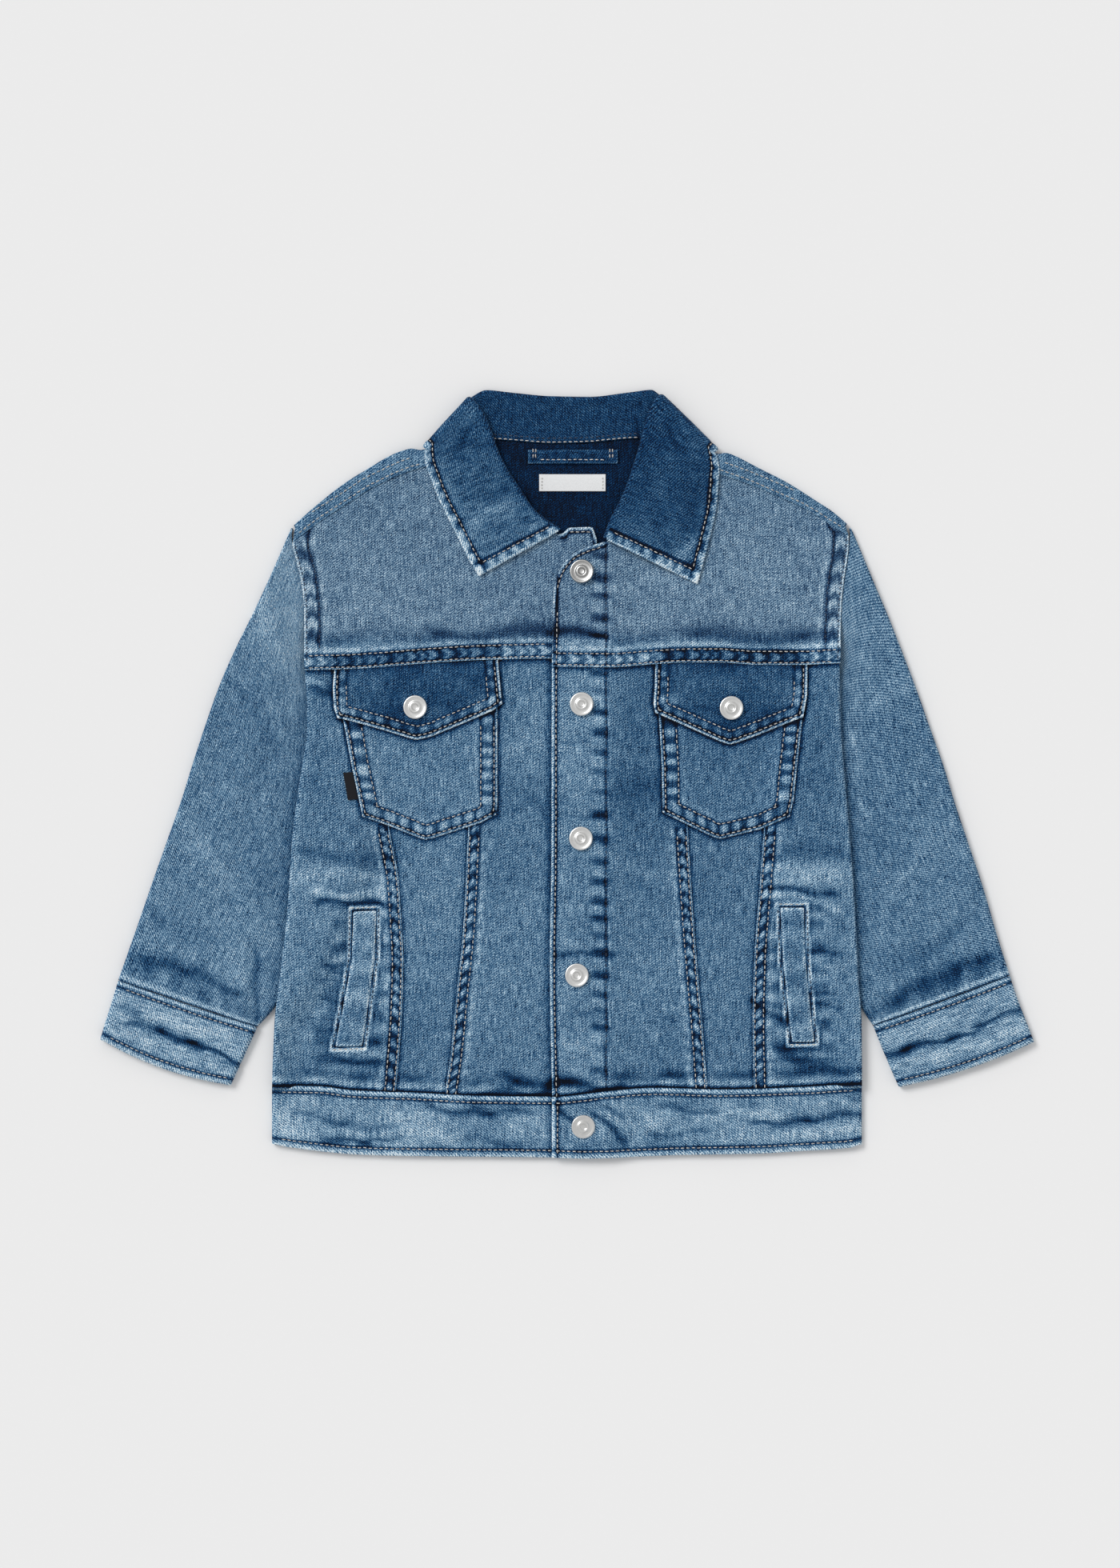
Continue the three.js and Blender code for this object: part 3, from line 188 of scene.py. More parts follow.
FLAPS = {
    "left": {"left": [[65, -145.5], [53.5, -146], [41, -145.3], [34.5, -143]],
             "right": [[70, -43.5], [58.5, -42.5], [43, -41]],
             "top": [[-146, 64.7], [-134, 65.2], [-95, 68.2], [-43, 71]],
             "bottom": [[-143.5, 35], [-134.5, 33], [-114.5, 27.5], [-97, 22], [-94, 21.5],
                        [-90, 22.3], [-84.5, 23.7], [-64.5, 32], [-47, 39.5], [-41, 44]]},
    "right": {"left": [[68.5, 55.5], [53.5, 55], [43.5, 54.3], [38, 55.5]],
              "right": [[68.5, 150], [48.5, 149.5], [35, 147]],
              "top": [[55, 68.2], [76, 69.2], [95, 69.2], [120, 67.7], [150, 67.7]],
              "bottom": [[55, 38.5], [75.5, 29.5], [95.5, 20.5], [101.5, 18.5], [106, 19.7],
                         [118, 24], [138, 32], [147.5, 35.8]]}}
WELTS = {
    "left": {"left": [[-86.5, -133.5], [-116.5, -134.5], [-146.5, -140], [-170.5, -144.8]],
             "right": [[-86.5, -119.8], [-116.5, -120.8], [-146.5, -125], [-170.5, -128.5]],
             "top": [[-134, -86.5], [-119, -86]], "bottom": [[-145, -170.5], [-128, -170]]},
    "right": {"left": [[-84, 133.8], [-116.5, 135.2], [-156.5, 139.5], [-168, 141]],
              "right": [[-84, 147.4], [-116.5, 148.7], [-156.5, 152.8], [-168, 154.4]],
              "top": [[133, -84], [148, -84]], "bottom": [[140, -167.5], [155, -167.5]]}}
SIDE_TAB = {"left": [[1, -139.9], [-16.5, -136.9]], "right": [[1, -134.2], [-16.5, -130.6]],
            "top": [[-140, 0.5], [-134, 1]], "bottom": [[-137, -16.5], [-130, -16]]}

# Long soft dips in the sleeves, as in the solids: from x, y to x, y, half width, depth
SLEEVE_DIPS = [[-194, -112, -193, -156, 7, 1.0], [-196, 96, -232, -44, 10, 0.8],
               [-184, 20, -214, -84, 9, 0.7], [186, 40, 203, -40, 8, 0.8],
               [192, 100, 226, 8, 10, 0.7], [205, -60, 236, -118, 10, 0.6]]

# Creases: from x, y to x, y, half width, height, tone (painted shade below 0, painted highlight above 0)
FRONT_CREASES = [
    [-7, 88.5, 20, 88, 3.6, -0.7, -0.24], [-6, 82.5, 24, 83, 2.4, 0.3, 0.07],
    [-5, -112.5, 28, -113.5, 2.4, -0.4, -0.15], [-4, -106, 20, -108, 2.6, 0.2, 0.05],
    [-78, 87, -14, 88, 6.5, -0.35, -0.17], [-150, 84, -84, 86, 6, -0.2, -0.08],
    [84, 86, 150, 85, 6.5, -0.35, -0.15], [30, 84, 80, 87, 5, -0.2, -0.07],
    [-154.5, -79.5, -117, -81, 2.2, -0.6, -0.21], [-156, -74.5, -118, -75.5, 3.4, 0.45, 0.13],
    [-150, -119, -140, -119, 2.6, -0.4, -0.16], [-153, -129, -142, -130, 2.2, -0.3, -0.10],
    [-152, -141, -141, -143, 2.6, -0.4, -0.16], [-154, -159, -144, -161, 3.0, -0.4, -0.15],
    [-158, -150, -146, -151, 2.4, 0.3, 0.08], [-112, -118, -104, -126, 3.0, -0.3, -0.13],
    [130, -71, 166, -76, 2.5, -0.6, -0.20], [150, -80, 168, -83, 3.0, 0.4, 0.12],
    [132, -64, 170, -68, 5.0, 0.3, 0.07], [152, -112, 167, -112, 2.0, -0.3, -0.14],
    [153, -119, 164, -120, 2.0, 0.25, 0.08], [152, -137, 165, -138, 2.2, -0.35, -0.16],
    [155, -144, 170, -146, 2.4, -0.3, -0.12], [116, -143, 137, -156, 2.6, -0.7, -0.24],
    [118, -151, 134, -161, 2.4, 0.4, 0.12], [118, -135, 132, -142, 2.4, 0.3, 0.10],
    [137, -174, 173, -190, 5.0, -0.4, -0.15], [120, -176, 136, -182, 3.0, 0.3, 0.08],
    [-152, -178, -116, -181, 4.2, -0.4, -0.13], [-146, -173, -124, -174, 2.4, 0.35, 0.10],
    [-120, -168, -110, -172, 3.0, -0.3, -0.12],
    [-38, -190, -12, -196, 3.8, -0.35, -0.18], [-52, -198.5, -14, -200, 2.6, -0.4, -0.18],
    [-7, -194, 32, -195.5, 4.2, -0.7, -0.27], [36, -190, 70, -191, 3.4, -0.2, -0.09],
    [-172, -62, -118, -66, 8.0, 0.3, 0.08], [-170, -50, -120, -53, 6.5, -0.2, -0.08],
    [136, -58, 172, -60, 6.5, 0.25, 0.08], [134, -48, 172, -50, 5.5, -0.2, -0.07],
    [-164, 54, -150, 51, 3.4, -0.3, -0.15], [-163, 60, -156, 57, 2.4, 0.2, 0.2],
    [-100, -112, -70, -114, 1.8, -0.15, -0.05], [34, -60, 66, -61, 9, 0.1, 0.04],
    [-52, 20, -20, 22, 12, 0.15, 0.03], [-48, -20, -18, -18, 9, 0.1, -0.04],
    [-96, 40, -60, 42, 3, 0, 0.0], [28, -8, 52, -9, 12, 0.2, -0.05],
    [-4, -26, 20, -27, 2.2, -0.3, -0.08], [-4, 20, 22, 18, 2.6, -0.25, -0.07],
    [2, -150, 22, -152, 2.4, -0.3, -0.08], [-5, -170, 18, -172, 3.0, 0.25, 0.08]]
SLEEVE_CREASES = [
    [-194.5, -111.5, -194.5, -156, 2.6, -0.6, -0.12], [-203, -112, -201, -150, 3.0, 0.35, 0.05],
    [178, 23.5, 182, 6, 1.6, 0.3, 0.09], [195.5, 8.5, 200.5, -6.5, 1.5, 0.25, 0.08],
    [183, -16.5, 188, -26.5, 1.4, 0.25, 0.08], [-212, 60, -186, 28, 5, -0.35, -0.05],
    [-240, -30, -214, -60, 6, 0.35, 0.04], [-256, -86, -226, -104, 7, -0.3, -0.04],
    [-262, -116, -240, -125, 5, -0.5, -0.14], [-232, -126, -206, -136, 5, -0.45, -0.13],
    [232, -40, 206, -66, 6, 0.3, 0.04], [244, -96, 214, -116, 7, -0.35, -0.05],
    [262, -114, 236, -128, 5, -0.5, -0.13], [224, -132, 202, -142, 5, -0.45, -0.12],
    [218, 70, 192, 40, 7, 0.3, 0.04], [-190, 108, -178, 70, 7, 0.3, 0.04]]
CUFF_CREASES = [
    [-272, -156, -254, -161.5, 3.0, -0.5, -0.16], [-254, -161.5, -234, -168, 3.0, -0.9, -0.30],
    [-234, -168, -207, -180.5, 3.0, -0.9, -0.30], [-262, -151, -230, -160, 3.5, 0.4, 0.09],
    [-222, -183, -208, -188, 3.0, 0.3, 0.07], [-284, -160, -262, -168, 3.0, 0.3, 0.06],
    [-279, -147, -268, -150, 2.6, -0.3, -0.12],
    [200, -175.5, 212, -172, 2.6, -0.7, -0.22], [212, -172, 240, -165.5, 3.0, -0.8, -0.28],
    [240, -165.5, 253, -161.5, 2.8, -0.6, -0.22], [258, -156.5, 284, -147.5, 2.8, -0.6, -0.24],
    [206, -182, 240, -174, 3.2, 0.35, 0.09], [250, -172, 284, -160, 3.2, 0.3, 0.08],
    [214, -163, 240, -154, 2.6, 0.3, 0.06]]
WAIST_CREASES = [
    [-168, -212, -140, -219, 3.0, -0.5, -0.14], [-140, -219, -112, -222, 3.2, -0.4, -0.12],
    [-150, -228, -126, -231, 2.8, -0.5, -0.18], [-126, -231, -108, -228, 2.8, -0.4, -0.14],
    [-84, -209, -48, -214, 3.4, -0.5, -0.17], [-48, -212, -24, -211, 3.0, -0.4, -0.14],
    [-100, -224, -70, -226, 4.0, 0.4, 0.08], [-180, -222, -160, -226, 3.5, 0.4, 0.07],
    [-66, -228, -30, -232, 3.2, -0.3, -0.09], [-34, -222, -16, -226, 3.0, 0.3, 0.08],
    [-3, -210, 4, -216, 4.0, -0.4, -0.20], [18, -214, 34, -228, 3.6, -0.6, -0.22],
    [26, -210, 46, -218, 2.8, -0.4, -0.14], [40, -216, 60, -224, 3.0, 0.4, 0.09],
    [60, -208, 92, -213, 2.6, -0.4, -0.14], [56, -226, 84, -224, 3.0, -0.4, -0.12],
    [92, -214, 124, -211, 3.0, 0.3, 0.07], [118, -219, 150, -217, 2.8, -0.6, -0.20],
    [150, -217, 182, -212, 2.8, -0.6, -0.20], [100, -229, 140, -226, 2.6, 0.3, 0.08],
    [144, -226, 182, -222, 3.0, 0.3, 0.08], [150, -205, 180, -206, 3.0, 0.3, 0.07]]
COLLAR_CREASES = [
    [-62, 150, -40, 166, 6, 0.3, 0.09], [-80, 192, -66, 170, 5, 0.2, 0.05],
    [60, 130, 78, 142, 5, 0.3, 0.10], [84, 160, 76, 138, 5, 0.2, 0.06],
    [62, 219, 70, 205, 4, -0.3, -0.05], [-60, 214, -72, 200, 4, -0.3, -0.05],
    [42, 222, 46, 206, 1.8, -0.5, -0.08]]


class JacketSizes(bpy.types.PropertyGroup):
    stitch: FloatProperty(
        name="Stitch", description="Length of one stitch on the cloth",
        default=0.0023, unit="LENGTH")
    stitch_step: FloatProperty(
        name="Stitch step", description="Distance from one stitch to the next",
        default=0.0034, unit="LENGTH")
    thread: FloatProperty(
        name="Thread", description="Thickness of the sewing thread",
        default=0.00066, unit="LENGTH")
    mesh_step: FloatProperty(
        name="Mesh step", description="Distance between the points of the fronts",
        default=0.00155, unit="LENGTH")
    twill_step: FloatProperty(
        name="Twill step", description="Distance between the ribs of the twill",
        default=0.00125, unit="LENGTH")


class JacketColours(bpy.types.PropertyGroup):
    label: FloatVectorProperty(
        name="Neck label", description="Woven tape in the neck", subtype="COLOR",
        default=(0.86, 0.87, 0.88))
    tab: FloatVectorProperty(
        name="Side tab", description="Woven tape at the pocket", subtype="COLOR",
        default=(0.012, 0.012, 0.015))
    metal: FloatVectorProperty(
        name="Buttons", description="Plated brass of the buttons", subtype="COLOR",
        default=(0.78, 0.78, 0.77))
    floor: FloatVectorProperty(
        name="Floor", description="Paper that the jacket lies on", subtype="COLOR",
        default=(0.856, 0.855, 0.856))


# Lines and fields

def smooth_line(rows):
    """A cubic through the rows, input then output, that never swings past them."""
    xs, ys = np.array(sorted(map(list, rows)), float).T
    widths = np.diff(xs)
    secants = np.diff(ys) / widths
    before, after = np.r_[secants[0], secants], np.r_[secants, secants[-1]]
    both = before + after
    slopes = np.where(before * after > 0, 2 * before * after / np.where(both == 0, 1, both), 0)

    def at(value):
        value = np.asarray(value, float)
        i = np.clip(np.searchsorted(xs, value, side="right") - 1, 0, len(xs) - 2)
        t = np.clip((value - xs[i]) / widths[i], 0, 1)
        r = 1 - t
        return (ys[i] * r * r * (1 + 2 * t) + slopes[i] * widths[i] * t * r * r
                + ys[i + 1] * t * t * (3 - 2 * t) - slopes[i + 1] * widths[i] * t * t * r)
    return at


def straight_line(rows):
    xs, ys = np.array(sorted(map(list, rows)), float).T
    return lambda value: np.interp(value, xs, ys)


def slope_of(line, value):
    return line(value + 0.5) - line(value - 0.5)


def step01(value, low, high):
    t = np.clip((value - low) / (high - low), 0, 1)
    return t * t * (3 - 2 * t)


def hill(distance, width):
    """A bell over distance 0, half gone at about 0.8 of its width."""
    return np.exp(-(distance / width) ** 2)


def shelf(distance, low, high, soft=0.7):
    """1 between two distances and 0 outside them, with soft sides."""
    return step01(distance, low - soft, low + soft) * (1 - step01(distance, high - soft, high + soft))


def beads(along, step, seed):
    """Hollows and crests in turn along a line, -1 to 1, of uneven length and strength."""
    rng = np.random.default_rng(seed)
    count = int(1600 / step)
    knots = -400 + np.cumsum(rng.uniform(0.55, 1.45, count)) * step / 2
    heights = np.where(np.arange(count) % 2 == 0, 1, -1) * rng.uniform(0.35, 1, count)
    i = np.clip(np.searchsorted(knots, along) - 1, 0, count - 2)
    t = step01(along, knots[i], knots[i + 1])
    return heights[i] * (1 - t) + heights[i + 1] * t


def cloud(x, y, scale, seed):
    """Smooth random field, -1 to 1, that changes over about scale millimetres."""
    rng = np.random.default_rng(seed)
    grid = rng.uniform(-1, 1, (64, 64))
    u, v = x / scale + 500.3, y / scale + 500.7
    i, j = np.floor(u).astype(int), np.floor(v).astype(int)
    s, t = step01(u - i, 0, 1), step01(v - j, 0, 1)
    i, j = i % 63, j % 63
    return ((grid[i, j] * (1 - s) + grid[i + 1, j] * s) * (1 - t)
            + (grid[i, j + 1] * (1 - s) + grid[i + 1, j + 1] * s) * t)


def from_line(x, y, x0, y0, x1, y1):
    """Distance along a line, across it, and past its ends."""
    length = np.hypot(x1 - x0, y1 - y0)
    ax, ay = (x1 - x0) / length, (y1 - y0) / length
    along = (x - x0) * ax + (y - y0) * ay
    across = (x - x0) * ay - (y - y0) * ax
    return along, across, np.maximum(np.maximum(-along, along - length), 0)


def creases_at(rows, x, y):
    """Height and tone of soft troughs and ridges: bells across each line, fading past its ends. The tone is
    painted shade in the troughs and painted highlight on the ridges.
    """
    height, tone = np.zeros(np.shape(x)), np.zeros(np.shape(x))
    for number, (*ends, width, lift, shade) in enumerate(rows):
        along, across, past = from_line(x, y, *ends)
        across = across + 0.4 * width * np.sin(along / (1.7 * width) + 2.3 * number)
        thin = 0.75 + 0.25 * np.sin(along / (2.6 * width) + number)
        strength = np.exp(-(across / (width * thin)) ** 2 - (past / (1.5 * width)) ** 2)
        height += lift * strength
        tone += 1.35 * shade * strength
    return height, tone


body_edge = {"left": smooth_line(BODY_EDGES[:, [0, 1]]), "right": smooth_line(BODY_EDGES[:, [0, 2]])}
sleeve_inner = {side: smooth_line([[row[3], row[2]] for row in SLEEVES[side]]) for side in SIDES}
collar_back_edge = smooth_line([row[:2] for row in COLLAR_BACK])
collar_back_seam = smooth_line([row[4:] for row in COLLAR_BACK])
seams = {side: {name: smooth_line(rows) for name, rows in SEAM_LINES[side].items()} for side in SIDES}
yoke_seam = {side: smooth_line(YOKE_SEAMS[side]) for side in SIDES}
leading_edge = smooth_line(LEADING_EDGE)
neck_curve = smooth_line(NECK_CURVE)
under_neck = straight_line(UNDER_NECK)
waist_top, waist_bottom = smooth_line(WAIST_TOP), smooth_line(WAIST_BOTTOM)
waist_back_top = straight_line([WAIST_TOP[0], WAIST_TOP[-1]])
shoulder_line = {side: smooth_line(SHOULDERS[side]) for side in SIDES}
shoulder_seam = {side: smooth_line(SHOULDER_SEAMS[side]) for side in SIDES}
neck_seam = {side: smooth_line([row[4:] for row in COLLAR_FRONTS[side]]) for side in SIDES}


def by_side(x, left, right):
    return np.where(x < 0, left, right)


def edge_at(x, y):
    return by_side(x, body_edge["left"](y), body_edge["right"](y))


def back_underside(x, y):
    """The back lies on the floor, on the inner side of each sleeve and on the collar's back leaf."""
    inner = by_side(x, sleeve_inner["left"](y), sleeve_inner["right"](y))
    sleeve_depth = np.abs(x) - inner - np.maximum(y - 75, 0) * 1.2
    reach = by_side(x, COLLAR_REACH["left"], COLLAR_REACH["right"])
    collar_depth = np.minimum(y - collar_back_edge(x), reach - np.abs(x))
    return np.maximum(step01(sleeve_depth, -30, -5) * (PRESSED_SLEEVE + LAY_GAP),
                      step01(collar_depth, -24, -5) * (BAND + LAY_GAP))


def lap_lift(x):
    return 1 - step01(x, 22, 46)


def front_middle(side, x, y):
    base = back_underside(x, y) + CLOTH / 2 + 2 * FOLD_RADIUS
    return base + (FRONT_LAP * lap_lift(x) if side == "right" else 0)


def front_top(side, x, y):
    return front_middle(side, x, y) + CLOTH / 2


def front_waves(x, y):
    """Height and tone of what lies over all front pieces alike, gone at the side edges."""
    beside = edge_at(x, y) - np.abs(x)
    free = step01(beside, 0, 9)
    height, tone = creases_at(FRONT_CREASES, x, y)
    height = height + 0.35 * cloud(x, y, 46, 3) + 0.14 * cloud(x, y, 15, 4)
    tone = tone + 0.020 * cloud(x, y, 34, 5) + 0.022 * cloud(x, y * 2.2, 11, 6)
    return height * free, tone * (0.4 + 0.6 * free)


def sleeve_top(x, y):
    beside = np.abs(x) - edge_at(x, y)
    swell = step01(beside, 2, 24)
    dips = np.zeros(np.shape(x))
    for *ends, width, depth in SLEEVE_DIPS:
        _, across, past = from_line(x, y, *ends)
        dips = dips + depth * np.exp(-(across ** 2 + past ** 2) / width ** 2)
    tuck = 0.9 * (1 - step01(beside, -1.5, 3.5)) * step01(y, 52, 64)
    creases, _ = creases_at(SLEEVE_CREASES, x, y)
    soft = creases + 0.35 * cloud(x, y, 38, 12) + 0.12 * cloud(x, y, 14, 13)
    return PRESSED_SLEEVE - tuck + swell * (FREE_SLEEVE - PRESSED_SLEEVE - dips + soft)


# Meshes

def even_steps(length, step, near=NEAR_EDGE, start=True, end=True):
    """Shares of a length about a step apart, and closer together near an edge that shows."""
    near = np.array(near, float)
    low = near if start else near[:1]
    high = length - near[::-1] if end else np.array([length], float)
    inner = np.linspace(low[-1], high[0], max(int(round((high[0] - low[-1]) / step)), 1) + 1)
    return np.concatenate([low, inner[1:-1], high]) / length


def point_normals(points, cells):
    """Each cell's normal is the cross of its diagonals, and a point has the mean of its cells'."""
    cross = np.cross(points[cells[:, 2]] - points[cells[:, 0]], points[cells[:, 3]] - points[cells[:, 1]])
    cross /= np.maximum(np.linalg.norm(cross, axis=1, keepdims=True), 1e-9)
    normals = np.zeros_like(points)
    for corner in range(4):
        np.add.at(normals, cells[:, corner], cross)
    return normals / np.maximum(np.linalg.norm(normals, axis=1, keepdims=True), 1e-9)


def grid_cells(rows, columns, tube=False, keep=None):
    """A cell between each four points of a grid, whose columns close on themselves in a tube."""
    index = np.arange(rows * columns).reshape(rows, columns)
    after = np.roll(index, -1, axis=1)
    last = columns if tube else columns - 1
    cells = np.stack([index[:-1, :last], after[:-1, :last], after[1:, :last], index[1:, :last]], -1)
    return cells[keep] if keep is not None else cells.reshape(-1, 4)


def wall(points, thickness, tube=False, keep=None):
    """A closed wall half a thickness either side of a grid of middle points, with a rim at each edge.
    Gives the points, outer ones first, the cells, and the outer points as a grid."""
    rows, columns = points.shape[:2]
    flat = points.reshape(-1, 3)
    cells = grid_cells(rows, columns, tube, keep)
    normals = point_normals(flat, cells)
    outer, inner = flat + normals * thickness / 2, flat - normals * thickness / 2
    count = len(flat)
    sides = np.concatenate([cells[:, [k, (k + 1) % 4]] for k in range(4)])
    forward, backward = sides[:, 0] * count + sides[:, 1], sides[:, 1] * count + sides[:, 0]
    rim = sides[~np.isin(forward, backward)]
    rims = np.stack([rim[:, 1], rim[:, 0], rim[:, 0] + count, rim[:, 1] + count], -1)
    faces = np.concatenate([cells, cells[:, ::-1] + count, rims])
    return np.concatenate([outer, inner]), faces, outer.reshape(rows, columns, 3)


def add_mesh(name, points, faces, material, smooth=True, **fields):
    """A mesh object from points in millimetres, its cells and its point fields, without loose points."""
    used, faces = np.unique(faces, return_inverse=True)
    faces = faces.reshape(-1, 4)
    mesh = bpy.data.meshes.new(name)
    mesh.from_pydata((points[used] * METRE).tolist(), [], faces.tolist(), shade_flat=not smooth)
    for field, values in fields.items():
        values = np.asarray(values, np.float32)[used]
        kind, key = ("FLOAT", "value") if values.ndim == 1 else ("FLOAT_VECTOR", "vector")
        mesh.attributes.new(field, kind, "POINT").data.foreach_set(key, values.ravel())
    mesh.materials.append(material)
    made = bpy.data.objects.new(name, mesh)
    bpy.context.scene.collection.objects.link(made)
    return made


def cloth_piece(name, node, points, tone, weave, slot, thickness=CLOTH, wash=0.0, inside=0.2,
                flat=(0.1, 0.1), area=None, held="laid", rests_on=("floor",), **shape):
    """A cloth wall with its look in point fields. It rides on the body and stands for its node."""
    vertices, faces, outer = wall(points, thickness, **shape)
    count = tone.size
    wash = np.broadcast_to(wash, tone.shape)
    fields = {"tone": np.r_[tone.ravel(), np.full(count, inside)],
              "wash": np.r_[wash.ravel(), np.zeros(count)],
              "weave": np.tile(weave.reshape(-1, 3), (2, 1))}
    made = add_mesh(name, vertices, faces, denim(), **fields)
    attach(made, "root")
    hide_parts(node)
    return outer


# Panels between four lines

def make_panel(left, right, bottom, top):
    return {"left": left, "right": right, "bottom": bottom, "top": top}


def outline_panel(outline):
    return {key: straight_line(rows) for key, rows in outline.items()}


def panel_points(panel, across, up):
    """The point at shares (u, v): x lies at u between the side lines and y at v between the others."""
    u, v = np.meshgrid(across, up)
    y = np.full(u.shape, (panel["bottom"](0) + panel["top"](0)) / 2)
    for _ in range(14):
        x = (1 - u) * panel["left"](y) + u * panel["right"](y)
        y = (1 - v) * panel["bottom"](x) + v * panel["top"](x)
    return x, y


def edge_distances(panel, x, y):
    """How far a point lies inside each line of a panel, square to the line."""
    def inside(line, value, by):
        return value / np.hypot(1, slope_of(line, by))
    return {"left": inside(panel["left"], x - panel["left"](y), y),
            "right": inside(panel["right"], panel["right"](y) - x, y),
            "bottom": inside(panel["bottom"], y - panel["bottom"](x), x),
            "top": inside(panel["top"], panel["top"](x) - y, x)}


def edge_row(panel, edge, inset, low=-1e9, high=1e9, ends=None):
    """A line at an inset from one edge, cut off where it comes within its ends' inset of the others."""
    ends = inset if ends is None else ends
    value = np.arange(-260, 260, 0.5)
    line = panel[edge]
    offset = inset * np.hypot(1, slope_of(line, value)) * (1 if edge in ("left", "bottom") else -1)
    other = line(value) + offset
    x, y = (other, value) if edge in ("left", "right") else (value, other)
    near = edge_distances(panel, x, y)
    cross = ("bottom", "top") if edge in ("left", "right") else ("left", "right")
    inside = (near[cross[0]] >= ends) & (near[cross[1]] >= ends) & (value >= low) & (value <= high)
    return x[inside], y[inside]


def seam_strip(distance, along, width, rows, step, seed, contrast=1.0, bias=0.0):
    """A felled strip beside a seam: raised, puckered between its stitch rows, worn at its edge."""
    inside = shelf(distance, 0.6, width - 0.3, 0.6)
    puckers = beads(along + 1.5 * np.sin(distance), step, seed)
    height = 0.5 * (1 - step01(distance, width - 0.8, width + 0.8)) + 0.24 * puckers * inside
    spots = np.tanh(2.4 * puckers)
    tone = contrast * (0.24 * spots - 0.02) * shelf(distance, 1.9, width - 1.9, 0.8) + bias * inside
    tone = tone + contrast * (0.10 + 0.07 * spots) * hill(distance - width - 2.0, 2.0)
    worn = 0.30 + 0.10 * beads(along, 5, seed + 50)
    tone = tone + worn * hill(distance - 0.35, 0.8)
    for row in rows:
        height = height - 0.25 * hill(distance - row, 0.8)
        tone = tone - 0.42 * hill(distance - row, 1.0)
    return height, tone


def turned_edge(distance, along, seed, worn=0.22, row=None, puckers=0.0, reach=5.0):
    """A folded edge: rounded down, worn pale on its crest, with a groove along its stitch row."""
    height = -0.45 * np.clip(1 - distance / 1.1, 0, 1) ** 2
    tone = (1.45 * worn + 0.10 * beads(along, 5, seed)) * hill(distance - 0.35, 0.95)
    if row is not None:
        height = height - 0.28 * hill(distance - row, 0.9) + 0.1 * hill(distance - row / 2, row / 2)
        tone = tone - 0.50 * hill(distance - row, 1.1)
    if puckers:
        spots = beads(along, 8, seed + 9)
        inside = shelf(distance, 1.4, reach, 1.0)
        height = height + 0.2 * spots * inside
        tone = tone + puckers * spots * inside
    return height, tone


def painted_shadow_beyond(panel, x, y, depth=0.33, width=1.7):
    """Painted shadow: darker tone just outside a piece that lies on top."""
    near = edge_distances(panel, x, y)
    outside = -np.minimum(np.minimum(near["left"], near["right"]), np.minimum(near["bottom"], near["top"]))
    return -depth * hill(outside - 0.4, width)


# Stitching: rows are gathered while the pieces are made

stitch_rows = {"pale": [], "navy": []}


def sew(kind, x, y, z, step=None, length=None):
    """Keeps a row of stitches along a line of points on the cloth."""
    if len(x) > 1:
        stitch_rows[kind].append((np.stack([x, y, z + 0 * x], -1), step, length))


def stitch_mesh(name, rows, material):
    """One small five-sided rod for each stitch: its line goes down into the cloth at both ends, its
    section is a circle that is smaller at the ends."""
    sizes = bpy.context.scene.jacket_sizes
    thread = sizes.thread / METRE / 2
    share = np.array([0, 0.18, 0.5, 0.82, 1])
    lift = np.array([-0.15, 0.16, 0.26, 0.16, -0.15])
    girth = np.array([0.45, 0.95, 1, 0.95, 0.45])
    angles = np.arange(5) * 2 * np.pi / 5
    starts, ends = [], []
    for line, step, length in rows:
        way = np.r_[0, np.cumsum(np.linalg.norm(np.diff(line, axis=0), axis=1))]
        step = step or sizes.stitch_step / METRE
        length = length or sizes.stitch / METRE
        first = np.arange(0.4, way[-1] - length, step)
        starts.append(np.stack([np.interp(first, way, line[:, k]) for k in range(3)], -1))
        ends.append(np.stack([np.interp(first + length, way, line[:, k]) for k in range(3)], -1))
    starts, ends = np.concatenate(starts), np.concatenate(ends)
    rng = np.random.default_rng(17)
    turn = rng.uniform(-0.10, 0.10, len(starts))
    along = ends - starts
    side = np.stack([-along[:, 1], along[:, 0], 0 * along[:, 0]], -1)
    side /= np.maximum(np.linalg.norm(side, axis=1, keepdims=True), 1e-9)
    ends = ends + side * (turn * 2)[:, None]
    centre = starts[:, None] + (ends - starts)[:, None] * share[None, :, None]
    centre = centre + lift[None, :, None] * np.array([0, 0, 1])
    ring = (side[:, None, None] * np.cos(angles)[None, None, :, None]
            + np.array([0, 0, 0.8]) * np.sin(angles)[None, None, :, None])
    points = centre[:, :, None] + ring * (thread * girth)[None, :, None, None]
    count = len(starts)
    base = (np.arange(count) * 25)[:, None, None, None]
    i, k = np.meshgrid(np.arange(4), np.arange(5), indexing="ij")
    after = (k + 1) % 5
    cell = np.stack([i * 5 + k, i * 5 + after, (i + 1) * 5 + after, (i + 1) * 5 + k], -1)
    quads = (base + cell[None]).reshape(-1, 4)
    caps = np.array([[4, 3, 2, 1, 0], [20, 21, 22, 23, 24]])
    ends_of = ((np.arange(count) * 25)[:, None, None] + caps[None]).reshape(-1, 5)
    mesh = bpy.data.meshes.new(name)
    mesh.from_pydata((points.reshape(-1, 3) * METRE).tolist(), [],
                     quads[:, ::-1].tolist() + ends_of[:, ::-1].tolist(), shade_flat=False)
    mesh.materials.append(material)
    made = bpy.data.objects.new(name, mesh)
    bpy.context.scene.collection.objects.link(made)
    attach(made, "root")
    return made


# Materials

def linear(code):
    """An sRGB hex colour as linear red, green, blue and alpha."""
    value = np.array([int(code[i:i + 2], 16) for i in (1, 3, 5)]) / 255
    value = np.where(value <= 0.04045, value / 12.92, ((value + 0.055) / 1.055) ** 2.4)
    return (*map(float, value), 1.0)


